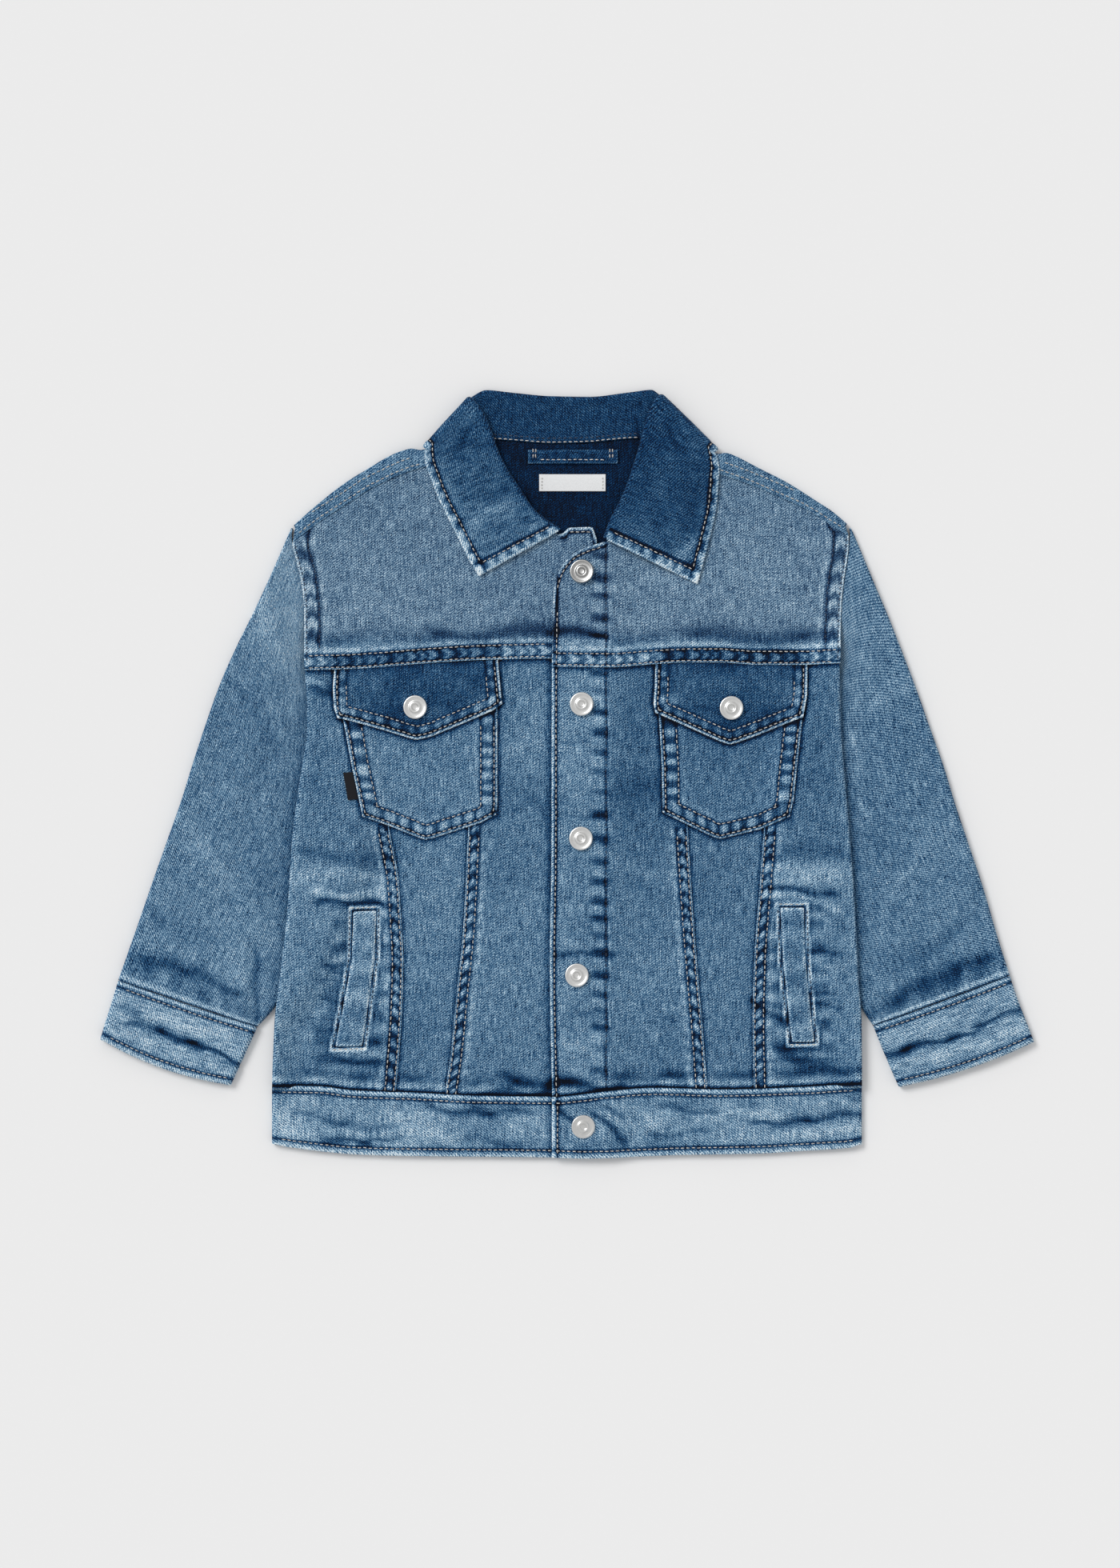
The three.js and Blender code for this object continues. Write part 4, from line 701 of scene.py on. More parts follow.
def add_node(tree, kind, inputs=None, **settings):
    """Adds a node with its settings, and links or sets its inputs by name or number."""
    made = tree.nodes.new(kind)
    for key, value in settings.items():
        setattr(made, key, value)
    for key, value in (inputs or {}).items():
        if isinstance(value, bpy.types.NodeSocket):
            tree.links.new(value, made.inputs[key])
        else:
            made.inputs[key].default_value = value
    return made


def new_material(name):
    material = bpy.data.materials.new(name)
    material.use_nodes = True
    tree = material.node_tree
    tree.nodes.clear()
    return material, tree


def finish_material(tree, colour, bump, **inputs):
    """The surface shader with a linked colour and bump, and its other inputs set on its own sockets."""
    shader = add_node(tree, "ShaderNodeBsdfPrincipled", {"Base Color": colour, "Normal": bump, **inputs})
    add_node(tree, "ShaderNodeOutputMaterial", {"Surface": shader.outputs["BSDF"]})


# Washed indigo, by how light it looks
INDIGO = [(0.055, "#050B18"), (0.14, "#08203F"), (0.25, "#1D3A5D"), (0.35, "#365778"),
          (0.46, "#567590"), (0.55, "#708DA5"), (0.65, "#8BA7BE"), (0.74, "#A5C0D3"),
          (0.84, "#C2D7E4"), (0.95, "#E3EDF2")]


def denim():
    """Stonewashed indigo twill, woven cotton: pale ribs on a dark ground, flecked by uneven yarn."""
    if "indigo_twill" in bpy.data.materials:
        return bpy.data.materials["indigo_twill"]
    material, tree = new_material("indigo_twill")
    step = bpy.context.scene.jacket_sizes.twill_step / METRE
    weave = add_node(tree, "ShaderNodeAttribute", attribute_name="weave").outputs["Vector"]
    tone = add_node(tree, "ShaderNodeAttribute", attribute_name="tone").outputs["Fac"]
    wash = add_node(tree, "ShaderNodeAttribute", attribute_name="wash").outputs["Fac"]

    def noise(scale, detail=1.0, angle=0.0):
        place = add_node(tree, "ShaderNodeMapping", {
            "Vector": weave, "Scale": scale, "Rotation": (0, 0, angle)}, vector_type="POINT")
        return add_node(tree, "ShaderNodeTexNoise", {
            "Vector": place.outputs["Vector"], "Scale": 1.0, "Detail": detail}).outputs["Fac"]

    # Yarn is about 0.5 mm thick, and is drawn a little coarser so that it shows
    warp = noise((1.5, 0.10, 1), 2.0)
    weft = noise((0.14, 1.5, 1), 2.0)
    fleck = noise((1.7, 1.1, 1), 1.0, 0.45)
    patch = noise((0.22, 0.16, 1), 3.0)
    turned = add_node(tree, "ShaderNodeMapping", {
        "Vector": weave, "Rotation": (0, 0, 0.95), "Scale": (1, 1, 1)}, vector_type="POINT")
    # A band texture repeats every 0.314 units
    ribs = add_node(tree, "ShaderNodeTexWave", {
        "Vector": turned.outputs["Vector"], "Scale": 0.314 / step, "Distortion": 2.4, "Detail": 1.0,
        "Detail Scale": 2.0}, wave_type="BANDS", bands_direction="X").outputs["Fac"]

    def weighted(parts, start):
        total = start
        for value, weight in parts:
            total = add_node(tree, "ShaderNodeMath", {0: value, 1: weight, 2: total},
                             operation="MULTIPLY_ADD").outputs["Value"]
        return total

    parts = [(warp, 0.85), (weft, 0.50), (fleck, 1.3), (ribs, 0.30), (patch, 0.24)]
    grain = weighted(parts, -sum(weight for _, weight in parts) / 2)
    # Darker cloth is less flecked
    strength = add_node(tree, "ShaderNodeMath", {0: tone, 1: 1.15, 2: 0.32},
                        operation="MULTIPLY_ADD").outputs["Value"]
    look = add_node(tree, "ShaderNodeMath", {0: grain, 1: strength, 2: tone},
                    operation="MULTIPLY_ADD").outputs["Value"]
    ramp = add_node(tree, "ShaderNodeValToRGB", {"Fac": look})
    stops = ramp.color_ramp.elements
    for number, (place, code) in enumerate(INDIGO):
        stop = stops[number] if number < 2 else stops.new(place)
        stop.position = place
        stop.color = linear(code)
    grey = add_node(tree, "ShaderNodeMath", {0: wash, 1: -0.10, 2: 1.12},
                    operation="MULTIPLY_ADD").outputs["Value"]
    colour = add_node(tree, "ShaderNodeHueSaturation", {
        "Color": ramp.outputs["Color"], "Saturation": grey}).outputs["Color"]
    relief = weighted([(warp, 0.5), (weft, 0.35), (fleck, 0.6), (ribs, 0.5)], 0.0)
    bump = add_node(tree, "ShaderNodeBump", {"Height": relief, "Strength": 0.55, "Distance": 0.00035})
    finish_material(tree, colour, bump.outputs["Normal"], Roughness=0.92, **{
        "Specular IOR Level": 0.12, "Sheen Weight": 0.03, "Sheen Roughness": 0.6})
    return material


def thread_material(name, light, dark):
    """Spun polyester sewing thread, two colours twisted: a soft dull gleam."""
    material, tree = new_material(name)
    place = add_node(tree, "ShaderNodeTexCoord").outputs["Object"]
    twist = add_node(tree, "ShaderNodeTexNoise", {"Vector": place, "Scale": 1400.0, "Detail": 1.0})
    ramp = add_node(tree, "ShaderNodeValToRGB", {"Fac": twist.outputs["Fac"]})
    for stop, where, code in zip(ramp.color_ramp.elements, (0.38, 0.62), (dark, light)):
        stop.position = where
        stop.color = linear(code)
    bump = add_node(tree, "ShaderNodeBump", {
        "Height": twist.outputs["Fac"], "Strength": 0.5, "Distance": 0.0001})
    finish_material(tree, ramp.outputs["Color"], bump.outputs["Normal"], Roughness=0.6)
    return material


def tape_material(name, colour):
    """Woven polyester tape: fine even ribs with a faint satin gleam."""
    material, tree = new_material(name)
    place = add_node(tree, "ShaderNodeTexCoord").outputs["Object"]
    # The tape's ribs are about 0.4 mm apart
    ribs = add_node(tree, "ShaderNodeTexWave", {
        "Vector": place, "Scale": 785.0, "Distortion": 0.4}, bands_direction="Y").outputs["Fac"]
    fuzz = add_node(tree, "ShaderNodeTexNoise", {"Vector": place, "Scale": 900.0}).outputs["Fac"]
    blend = add_node(tree, "ShaderNodeMath", {0: ribs, 1: 0.12, 2: 0.84}, operation="MULTIPLY_ADD")
    shade = add_node(tree, "ShaderNodeMath", {0: fuzz, 1: 0.12, 2: blend.outputs["Value"]},
                     operation="MULTIPLY_ADD")
    tint = add_node(tree, "ShaderNodeVectorMath", {
        0: tuple(colour), "Scale": shade.outputs["Value"]}, operation="SCALE")
    bump = add_node(tree, "ShaderNodeBump", {"Height": ribs, "Strength": 0.4, "Distance": 0.0002})
    finish_material(tree, tint.outputs["Vector"], bump.outputs["Normal"], Roughness=0.7, **{
        "Specular IOR Level": 0.15})
    return material


def flecked_material(name, colour, scale, detail, fleck, relief, **inputs):
    """A colour whose shade and surface follow one fine noise: its share and least shade in fleck, its
    strength and depth in relief."""
    material, tree = new_material(name)
    place = add_node(tree, "ShaderNodeTexCoord").outputs["Object"]
    noise = add_node(tree, "ShaderNodeTexNoise", {
        "Vector": place, "Scale": scale, "Detail": detail}).outputs["Fac"]
    shade = add_node(tree, "ShaderNodeMath", {0: noise, 1: fleck[0], 2: fleck[1]},
                     operation="MULTIPLY_ADD")
    tint = add_node(tree, "ShaderNodeVectorMath", {
        0: tuple(colour), "Scale": shade.outputs["Value"]}, operation="SCALE")
    bump = add_node(tree, "ShaderNodeBump", {
        "Height": noise, "Strength": relief[0], "Distance": relief[1]})
    finish_material(tree, tint.outputs["Vector"], bump.outputs["Normal"], **inputs)
    return material


def metal_material(name, colour, roughness):
    """Nickel-plated brass, tumbled to a satin: soft highlights, faint scuffs."""
    return flecked_material(name, colour, 420.0, 4.0, (0.24, 0.86), (0.15, 0.0002), Metallic=1.0,
                            Roughness=roughness)


def paper_material(colour):
    """Matt studio paper: even, with the faintest tooth."""
    return flecked_material("studio_paper", colour, 300.0, 2.0, (0.008, 0.996), (0.02, 0.0001),
                            Roughness=1.0, **{"Specular IOR Level": 0.0})


# Fronts

def flat_weave(x, y, angle=0.0):
    """Thread coordinates in millimetres, turned by the angle of the grain."""
    u = x * np.cos(angle) + y * np.sin(angle)
    v = -x * np.sin(angle) + y * np.cos(angle)
    return np.stack([u, v, 0 * u], -1)


def front_tone(side, x, y):
    """How light the front cloth is by place: paler thighs of the panels, darker under the pockets."""
    tone = 0.435 + 0.02 * step01(-y, 60, 100)
    tone = tone + 0.045 * hill(y + 75, 30) * hill(np.abs(x) - 150, 30)
    tone = tone + 0.035 * hill(y + 80, 45) * hill(x + 85, 20)
    tone = tone - 0.05 * hill(y + 160, 22) * hill(x + 88, 20)
    tone = tone - 0.07 * hill(y - 10, 55) * hill(x - 42, 14)
    tone = tone - 0.02 * step01(x, 30, 60) + 0.03 * hill(y + 150, 40) * hill(np.abs(x) - 170, 20)
    tone = tone - 0.03 * hill(y - 20, 45) * hill(np.abs(x) - 158, 12)
    tone = tone + 0.02 * hill(y + 140, 40) * hill(x - 50, 16)
    tone = tone + 0.03 * hill(y - 10, 60) * hill(x + 25, 12)
    if side == "right":
        on_placket = shelf(x, -9, 24, 1.5)
        tone = tone + on_placket * (0.035 + 0.03 * hill(y - 5, 50) - 0.03 * hill(y + 100, 30))
    return tone


def placket_marks(x, y):
    """Height and tone beside the placket's inner stitch row: dark puckers that reach to its left."""
    distance = x - PLACKET_ROW_X
    spots = beads(y + 0.12 * x, 12, 31)
    height = 0.3 * spots * shelf(distance, -11, 3.5, 2.5) - 0.3 * hill(distance, 0.9)
    reach = shelf(distance, -9, 2, 3.0)
    tone = (0.36 * np.minimum(spots, 0.1) + 0.02) * reach - 0.30 * hill(distance, 0.9)
    return height, tone + 0.09 * hill(distance - 1.7, 0.8)


def front_surface(side, panel, edges, tone_at, on_placket=False, over=()):
    """The top of a front piece as height and tone by place: layers, waves, and each edge's finish."""
    def at(x, y):
        height, tone = front_waves(x, y)
        tone = tone + tone_at(x, y)
        near = edge_distances(panel, x, y)
        for edge, finish, options in edges:
            along = y if edge in ("left", "right") else x
            more, shade = finish(near[edge], along, **options)
            height, tone = height + more, tone + shade
        if on_placket:
            more, shade = placket_marks(x, y)
            height, tone = height + more, tone + shade
        # Painted shadow beside the pockets and flaps that lie on top
        for piece in over:
            tone = tone + painted_shadow_beyond(piece, x, y)
        return front_top(side, x, y) + height, tone
    return at


def tucked(distance, _, depth=0.20, drop=0.5):
    """An edge that goes under its neighbour: lower, with painted shade where it goes under."""
    return -drop * (1 - step01(distance, 0, 2.2)), -depth * hill(distance - 1.6, 1.3)


def build_front(name, side, panel, edges, tone_at, flat, area, slot, wash=0.0, across=None, turn=False,
                on_placket=False, over=(), held="laid"):
    """A front piece: a fine grid between its four lines, on the height of its layers."""
    step = bpy.context.scene.jacket_sizes.mesh_step / METRE
    middle = (panel["bottom"](panel["left"](0)) + panel["top"](panel["left"](0))) / 2
    width = float(panel["right"](middle) - panel["left"](middle))
    centre = float(panel["left"](middle) + width / 2)
    height = float(panel["top"](centre) - panel["bottom"](centre))
    across = even_steps(width, step) if across is None else across
    x, y = panel_points(panel, across, even_steps(height, step))
    surface = front_surface(side, panel, edges, tone_at, on_placket, over)
    z, tone = surface(x, y)
    points = np.stack([x, y, z - CLOTH / 2], -1)
    if turn:
        points, tone = with_turn(side, points, tone, -1)
    weave = flat_weave(points[..., 0], points[..., 1])
    wash = wash(points[..., 0], points[..., 1]) if callable(wash) else wash
    cloth_piece(f"denim_{name}_{side}", f"{name}_{side}", points, tone, weave, slot, wash=wash,
                flat=flat, area=area, held=held, rests_on=("denim_back_panel",))
    return surface


def side_turn(y):
    turned = np.maximum(1 - step01(y, 54, 70), 0.001)
    return turned * np.pi / 2, FOLD_RADIUS / turned


def side_base(side, y):
    angle, radius = side_turn(y)
    return SIGN[side] * (body_edge[side](y) - CLOTH / 2 - radius * np.sin(angle))


def with_turn(side, points, tone, bend):
    """Adds the round turn at the side edge: an arc of the fold radius, down for the front."""
    steps = np.array([0.15, 0.3, 0.45, 0.6, 0.75, 0.9, 1.0])
    edge = points[:, -1] if side == "right" else points[:, 0]
    angle, radius = side_turn(edge[:, 1])
    arc = angle[:, None] * steps[None]
    turned = np.stack([edge[:, None, 0] + SIGN[side] * radius[:, None] * np.sin(arc),
                       np.broadcast_to(edge[:, None, 1], arc.shape),
                       edge[:, None, 2] + bend * radius[:, None] * (1 - np.cos(arc))], -1)
    edge_tone = (tone[:, -1] if side == "right" else tone[:, 0])[:, None] + 0 * arc
    if side == "right":
        return np.concatenate([points, turned], 1), np.concatenate([tone, edge_tone], 1)
    return np.concatenate([turned[:, ::-1], points], 1), np.concatenate([edge_tone[:, ::-1], tone], 1)


def sew_on(surface, kind, x, y, **options):
    z, _ = surface(x, y)
    sew(kind, x, y, z, **options)


class JACKET_OT_yokes(bpy.types.Operator):
    """Front yokes with their double strip along the yoke seam, the armhole strip and the neck."""
    bl_idname = "jacket.yokes"
    bl_label = "Front yokes"

    def execute(self, context):
        for side in SIDES:
            self.build(context, side)
        return {"FINISHED"}

    def build(self, context, side):
        sign = SIGN[side]

        def top(x):
            seam = shoulder_seam[side](np.abs(x)) - 0.3
            neck = under_neck(x) if side == "left" else neck_curve(x)
            flat = neck_seam[side](x) - 0.8
            at_front = x > -6 if side == "left" else x < 25
            return np.where(sign * x > SEAM_CORNER, seam, np.where(at_front, neck, flat))

        def armhole(y):
            return sign * body_edge[side](y)

        front = (lambda y: UNDER_EDGE + 0 * y) if side == "left" else leading_edge
        panel = make_panel(*((armhole, front) if side == "left" else (front, armhole)),
                           yoke_seam[side], top)
        arm_edge = "left" if side == "left" else "right"

        def bias(x):
            dark = shelf(-x, 42, 147, 2.0) if side == "left" else shelf(x, 55, 151, 2.0)
            return 0.05 - 0.21 * dark

        def strip(distance, along):
            height, tone = seam_strip(distance, along, 10, YOKE_ROWS[side], 9, 11 if side == "left" else 12,
                                      contrast=0.75)
            if side == "left":
                height = height * step01(-along, 12, 14)
            inside = shelf(distance, 0.8, 9.4, 0.8)
            tone = tone + bias(along) * inside + 0.12 * hill(distance - 11, 1.6)
            return height, tone

        def arm_strip(distance, along):
            height, tone = seam_strip(distance, along, 10.5, ARMHOLE_ROWS[:1], 13, 21, contrast=0.9)
            above = step01(along, 72, 84)
            return height * above, tone * above

        def tone_at(x, y):
            tone = 0.465 - 0.02 * hill(y - 150, 30) + 0.02 * hill(np.abs(x) - 60, 30)
            return tone + 0.03 * hill(np.abs(x) - 120, 40) * hill(y - 120, 40)

        edges = [("bottom", strip, {}), (arm_edge, arm_strip, {})]
        if side == "left":
            width = 183
            edges.append(("top", neck_end, {}))
        else:
            width = 180
            edges.append(("left", turned_edge, {"seed": 41, "row": FRONT_EDGE_ROW, "worn": 0.16}))
            edges.append(("top", lapel_edge, {}))
        near_front = np.arange(0, 16, 0.55) if side == "right" else np.array([0, 0.5, 1.2, 2.2])
        step = context.scene.jacket_sizes.mesh_step / METRE
        across = even_steps(width, step)
        keep = across * width > near_front[-1] + 0.8 if side == "right" else across >= 0
        if side == "right":
            across = np.concatenate([near_front / width, across[keep]])
        surface = build_front(
            "front_yoke", side, panel, edges, tone_at, (0.186, 0.135), 0.0188, "pale_denim",
            wash=lambda x, y: step01(y, 76, 92), across=across, on_placket=side == "right")
        for inset in YOKE_ROWS[side]:
            sew_on(surface, "pale", *edge_row(panel, "bottom", inset, ends=2.5,
                                              high=-12 if side == "left" else 1e9))
        for inset, low in zip(ARMHOLE_ROWS, (78, 70)):
            sew_on(surface, "navy", *edge_row(panel, arm_edge, inset, low=low, ends=2))
        if side == "right":
            y = np.arange(68, 143, 0.5)
            sew_on(surface, "navy", PLACKET_ROW_X + 0 * y, y)
            sew_on(surface, "pale", *edge_row(panel, "left", FRONT_EDGE_ROW, high=104, ends=1))
            x = np.linspace(-6.1, 24, 120)
            down = FRONT_EDGE_ROW * np.hypot(1, slope_of(neck_curve, x))
            sew_on(surface, "pale", x, neck_curve(x) - down)
        else:
            x = np.linspace(1.5, 16, 40)
            sew_on(surface, "pale", x, 0 * x + 151.2)


def neck_end(distance, along):
    """The under front's top edge between the collar ends."""
    worn = shelf(along, -5, 18, 1.5)
    height, tone = turned_edge(distance, along, 44, worn=0.25, row=2.6)
    return height * worn, tone * worn


def lapel_edge(distance, along):
    """The curved top of the placket, left of the collar's end."""
    worn = 1 - step01(along, 23, 26)
    height, tone = turned_edge(distance, along, 43, worn=0.12, row=FRONT_EDGE_ROW)
    return height * worn, tone * worn


class JACKET_OT_front_panels(bpy.types.Operator):
    """The fronts below the yoke: centre panels with the placket, wedges, and side panels."""
    bl_idname = "jacket.front_panels"
    bl_label = "Front panels"

    def execute(self, context):
        for side in SIDES:
            self.build(context, side)
        return {"FINISHED"}

    def build(self, context, side):
        sign = SIGN[side]
        over = [outline_panel(POCKETS[side]), outline_panel(FLAPS[side])]

        def bottom(x):
            return waist_top(x) - 0.6

        def top(x):
            return yoke_seam[side](x) + 0.8

        def tone_at(x, y):
            tone = front_tone(side, x, y)
            near_waist = y - waist_top(x)
            pale = 0.13 + 0.09 * beads(x, 22, 62)
            dark = 0.10 + 0.10 * beads(x, 34, 63)
            tone = tone + pale * hill(near_waist - 5.0, 2.4) - dark * hill(near_waist - 9.5, 3.0)
            # Painted shadow just above the waistband's top edge, which lies over the panel
            tone = tone - 0.50 * hill(near_waist - 1.2, 1.1)
            # Painted shade just below the yoke's lower edge, which lies over the panel
            return tone - 0.10 * hill(yoke_seam[side](x) - y, 3.5)

        def ordered(inner, outer):
            return (outer, inner) if side == "left" else (inner, outer)

        inner_edge, outer_edge = ("right", "left") if side == "left" else ("left", "right")

        def strip(distance, along, seed):
            below = 1 - step01(along, -36, -30)
            height, tone = seam_strip(distance, along, 8, SEAM_ROWS, 8.2, seed, contrast=1.15)
            return height * below, tone * below

        inner = seams[side]["inner"]
        outer = seams[side]["outer"]
        front = (lambda y: UNDER_EDGE + 0 * y) if side == "left" else leading_edge

        # Centre panel, its strip over the wedge
        panel = make_panel(*ordered(front, inner), bottom, top)
        edges = [(outer_edge, strip, {"seed": 51 if side == "left" else 52}),
                 ("top", tucked, {}), ("bottom", tucked, {})]
        if side == "right":
            edges.append(("left", turned_edge, {"seed": 61, "row": FRONT_EDGE_ROW, "worn": 0.17}))

        def centre_tone(x, y):
            tone = tone_at(x, y)
            if side == "left":
                # Painted shadow beside the right front's leading edge, which laps over this panel
                tone = tone - 0.2 * hill(x - leading_edge(y) + 1.0, 2.4)
            return tone

        surface = build_front("front_center", side, panel, edges, centre_tone,
                              (0.095, 0.275), 0.0232, "denim", on_placket=side == "right",
                              over=over)
        for inset in SEAM_ROWS:
            sew_on(surface, "pale", *edge_row(panel, outer_edge, inset, high=-37, ends=1.5))
        if side == "right":
            y = np.arange(-196, 67, 0.5)
            sew_on(surface, "navy", PLACKET_ROW_X + 0 * y, y)
            sew_on(surface, "pale", *edge_row(panel, "left", FRONT_EDGE_ROW, ends=1))

        # Wedge, whose edges go under
        panel = make_panel(*ordered(lambda y: inner(y) + sign * -1.2, lambda y: outer(y) + sign * 1.2),
                           bottom, top)
        edges = [(edge, tucked, {"depth": 0.2}) for edge in ("left", "right", "top", "bottom")]
        build_front("front_middle", side, panel, edges, tone_at, (0.075, 0.275), 0.0130, "denim",
                    over=over)

        # Side panel, its strip over the wedge, round to the back at the side edge
        panel = make_panel(*ordered(outer, lambda y: side_base(side, y)), bottom, top)
        edges = [(inner_edge, strip, {"seed": 53 if side == "left" else 54}),
                 ("top", tucked, {}), ("bottom", tucked, {})]
        frame_panel = welt_frame(side)

        def side_tone(x, y):
            tone = tone_at(x, y) + 0.05 * hill(edge_at(x, y) - np.abs(x) - 2, 3.5)
            near = edge_distances(frame_panel, x, y)
            inside = np.minimum(np.minimum(near["left"], near["right"]),
                                np.minimum(near["bottom"], near["top"]))
            # Pale worn line at the frame's stitching; the darker lines just inside the frame, beside the
            # welt, and just outside it are painted shade
            worn = 0.50 * hill(inside - 0.2, 0.9) - 0.46 * hill(inside - 1.9, 0.9)
            worn = worn - 0.16 * hill(inside + 1.6, 0.9)
            spots = 0.15 * beads(y, 13, 71 if side == "left" else 72) - 0.03
            return tone + worn + spots * shelf(inside, -10, -0.8, 2.0)

        surface = build_front("front_side", side, panel, edges, side_tone,
                              (0.080, 0.275), 0.0170, "denim", turn=True, over=over, held="folded")
        for inset in SEAM_ROWS:
            sew_on(surface, "pale", *edge_row(panel, inner_edge, inset, high=-37, ends=1.5))
        for edge in ("left", "right", "bottom", "top"):
            sew_on(surface, "navy" if edge in ("left", "right") else "pale",
                   *edge_row(frame_panel, edge, 0.6, ends=0.6))


def welt_frame(side):
    """The stitched frame round a slanted pocket, a little outside the welt."""
    grown = {key: np.array(rows, float) for key, rows in WELTS[side].items()}
    grown["left"][:, 1] -= 2.8
    grown["right"][:, 1] += 2.6
    grown["top"][:, 1] += 3.0
    grown["bottom"][:, 1] -= 2.6
    grown["left"][0, 0] += 4
    grown["right"][0, 0] += 4
    return {key: straight_line(rows) for key, rows in grown.items()}


# Pieces on the fronts

def laid_piece(name, side, outline, lift_at, edge_finish, tone_at, flat, area, slot, wash=0.0, step=1.15,
               corners=()):
    """A piece on a front: a grid between its lines, lifted off the front by lift_at of the distances
    to its edges."""
    panel = outline_panel(outline)
    xs = np.array([row[0] for row in outline["top"] + outline["bottom"]])
    ys = np.array([row[0] for row in outline["left"] + outline["right"]])

    def surface(x, y):
        waves, waves_tone = front_waves(x, y)
        near = edge_distances(panel, x, y)
        height, tone = edge_finish(near, x, y)
        return (front_top(side, x, y) + 0.7 * waves + lift_at(near) + height,
                tone_at(x, y) + tone + 0.5 * waves_tone)

    across = np.unique(np.concatenate([even_steps(np.ptp(xs), step), corners]))
    x, y = panel_points(panel, across, even_steps(np.ptp(ys), step))
    z, tone = surface(x, y)
    cloth_piece(f"denim_{name}_{side}", f"{name}_{side}", np.stack([x, y, z - CLOTH / 2], -1), tone,
                flat_weave(x, y), slot, wash=wash, flat=flat, area=area,
                rests_on=(f"denim_front_middle_{side}",))
    return panel, surface


class JACKET_OT_pockets(bpy.types.Operator):
    """Chest pockets, pointed below, with two stitch rows and puckers between them."""
    bl_idname = "jacket.pockets"
    bl_label = "Chest pockets"

    def execute(self, context):
        for side in SIDES:
            self.build(context, side)
        return {"FINISHED"}

    def build(self, context, side):
        seed = 101 if side == "left" else 111

        def finish(near, x, y):
            height, tone = 0, 0
            for number, edge in enumerate(("left", "right", "bottom")):
                along = y if edge != "bottom" else x
                wide = POCKET_INNER_ROW[edge]
                more, shade = turned_edge(near[edge], along, seed + number, worn=0.24, row=POCKET_ROW)
                spots = beads(along, 8.5, seed + number + 20)
                inside = shelf(near[edge], 2.6, wide - 0.8, 0.9)
                others = [near[k] for k in ("left", "right", "bottom") if k != edge]
                inside = inside * step01(np.minimum(*others), wide * 0.5, wide)
                within = step01(np.minimum(*others), wide - 1.5, wide)
                more = more + 0.22 * spots * inside - 0.22 * hill(near[edge] - wide, 0.9) * within
                shade = shade + (0.19 * np.tanh(2.2 * spots) + 0.02) * inside
                shade = shade - 0.36 * hill(near[edge] - wide, 1.0) * within
                shade = shade + 0.06 * hill(near[edge] - wide - 2.4, 2.0) * within
                height, tone = height + more, tone + shade
            return height, tone

        def lift(near):
            edge = np.minimum(np.minimum(near["left"], near["right"]), near["bottom"])
            return 0.95 + 0.65 * step01(edge, 0, 5)

        def tone_at(x, y):
            flap = outline_panel(FLAPS[side])
            tone = 0.44 + 0.03 * hill(y + 5, 18) if side == "left" else 0.375 + 0.04 * hill(y + 8, 20)
            # Painted shadow on the pocket just outside the flap's edges
            return tone + painted_shadow_beyond(flap, x, y, 0.36, 1.9)

        panel, surface = laid_piece("pocket", side, POCKETS[side], lift, finish, tone_at,
                                    (0.100, 0.092), 0.0078, "denim",
                                    corners=(0.47 if side == "left" else 0.46,))
        for edge in ("left", "right", "bottom"):
            high = 30 if edge != "bottom" else 1e9
            sew_on(surface, "pale", *edge_row(panel, edge, POCKET_ROW, high=high))
            sew_on(surface, "pale", *edge_row(panel, edge, POCKET_INNER_ROW[edge], high=high,
                                              ends=POCKET_INNER_ROW["bottom"]))


class JACKET_OT_flaps(bpy.types.Operator):
    """Pointed pocket flaps, tucked into the yoke seam, darker, with worn edges."""
    bl_idname = "jacket.flaps"
    bl_label = "Pocket flaps"

    def execute(self, context):
        for side in SIDES:
            self.build(context, side)
        return {"FINISHED"}

    def build(self, context, side):
        seed = 131 if side == "left" else 141

        def finish(near, x, y):
            height, tone = 0, 0
            for number, edge in enumerate(("left", "right", "bottom")):
                along = y if edge != "bottom" else x
                more, shade = turned_edge(near[edge], along, seed + number, worn=0.36, row=FLAP_ROWS[0])
                spots = beads(along, 8, seed + number + 20)
                inside = shelf(near[edge], 2.8, 7.2, 0.9)
                others = [near[k] for k in ("left", "right", "bottom") if k != edge]
                within = step01(np.minimum(*others), 6.4, FLAP_ROWS[1])
                from_row = near[edge] - FLAP_ROWS[1]
                more = more + 0.2 * spots * inside - 0.22 * hill(from_row, 0.9) * within
                shade = shade + (0.13 * np.tanh(2.2 * spots) + 0.07) * inside
                shade = shade - 0.22 * hill(from_row, 1.0) * within
                height, tone = height + more, tone + shade
            # Painted shade along the top edge, where the flap goes under the yoke's strip
            return height, tone - 0.10 * hill(near["top"], 2.0)

        def lift(near):
            edge = np.minimum(np.minimum(near["left"], near["right"]), near["bottom"])
            return 0.2 + 3.0 * step01(near["top"], -1, 11) * (0.8 + 0.2 * step01(edge, 0, 5))

        def tone_at(x, y):
            tone = 0.275 + 0.06 * cloud(x, y, 13, 8) + 0.04 * hill(y - 56, 5)
            worn = [-52, 42] if side == "left" else [64, 46]
            worn2 = [-138, 44] if side == "left" else [142, 46]
            for cx, cy in (worn, worn2):
                tone = tone + 0.16 * np.exp(-((x - cx) / 9) ** 2 - ((y - cy) / 7) ** 2)
            return tone

        panel, surface = laid_piece("flap", side, FLAPS[side], lift, finish, tone_at,
                                    (0.105, 0.050), 0.0040, "dark_denim",
                                    corners=(0.49 if side == "left" else 0.5,))
        for edge in ("left", "right", "bottom"):
            for inset, ends in zip(FLAP_ROWS, (1.2, FLAP_ROWS[1])):
                sew_on(surface, "pale", *edge_row(panel, edge, inset, ends=ends))


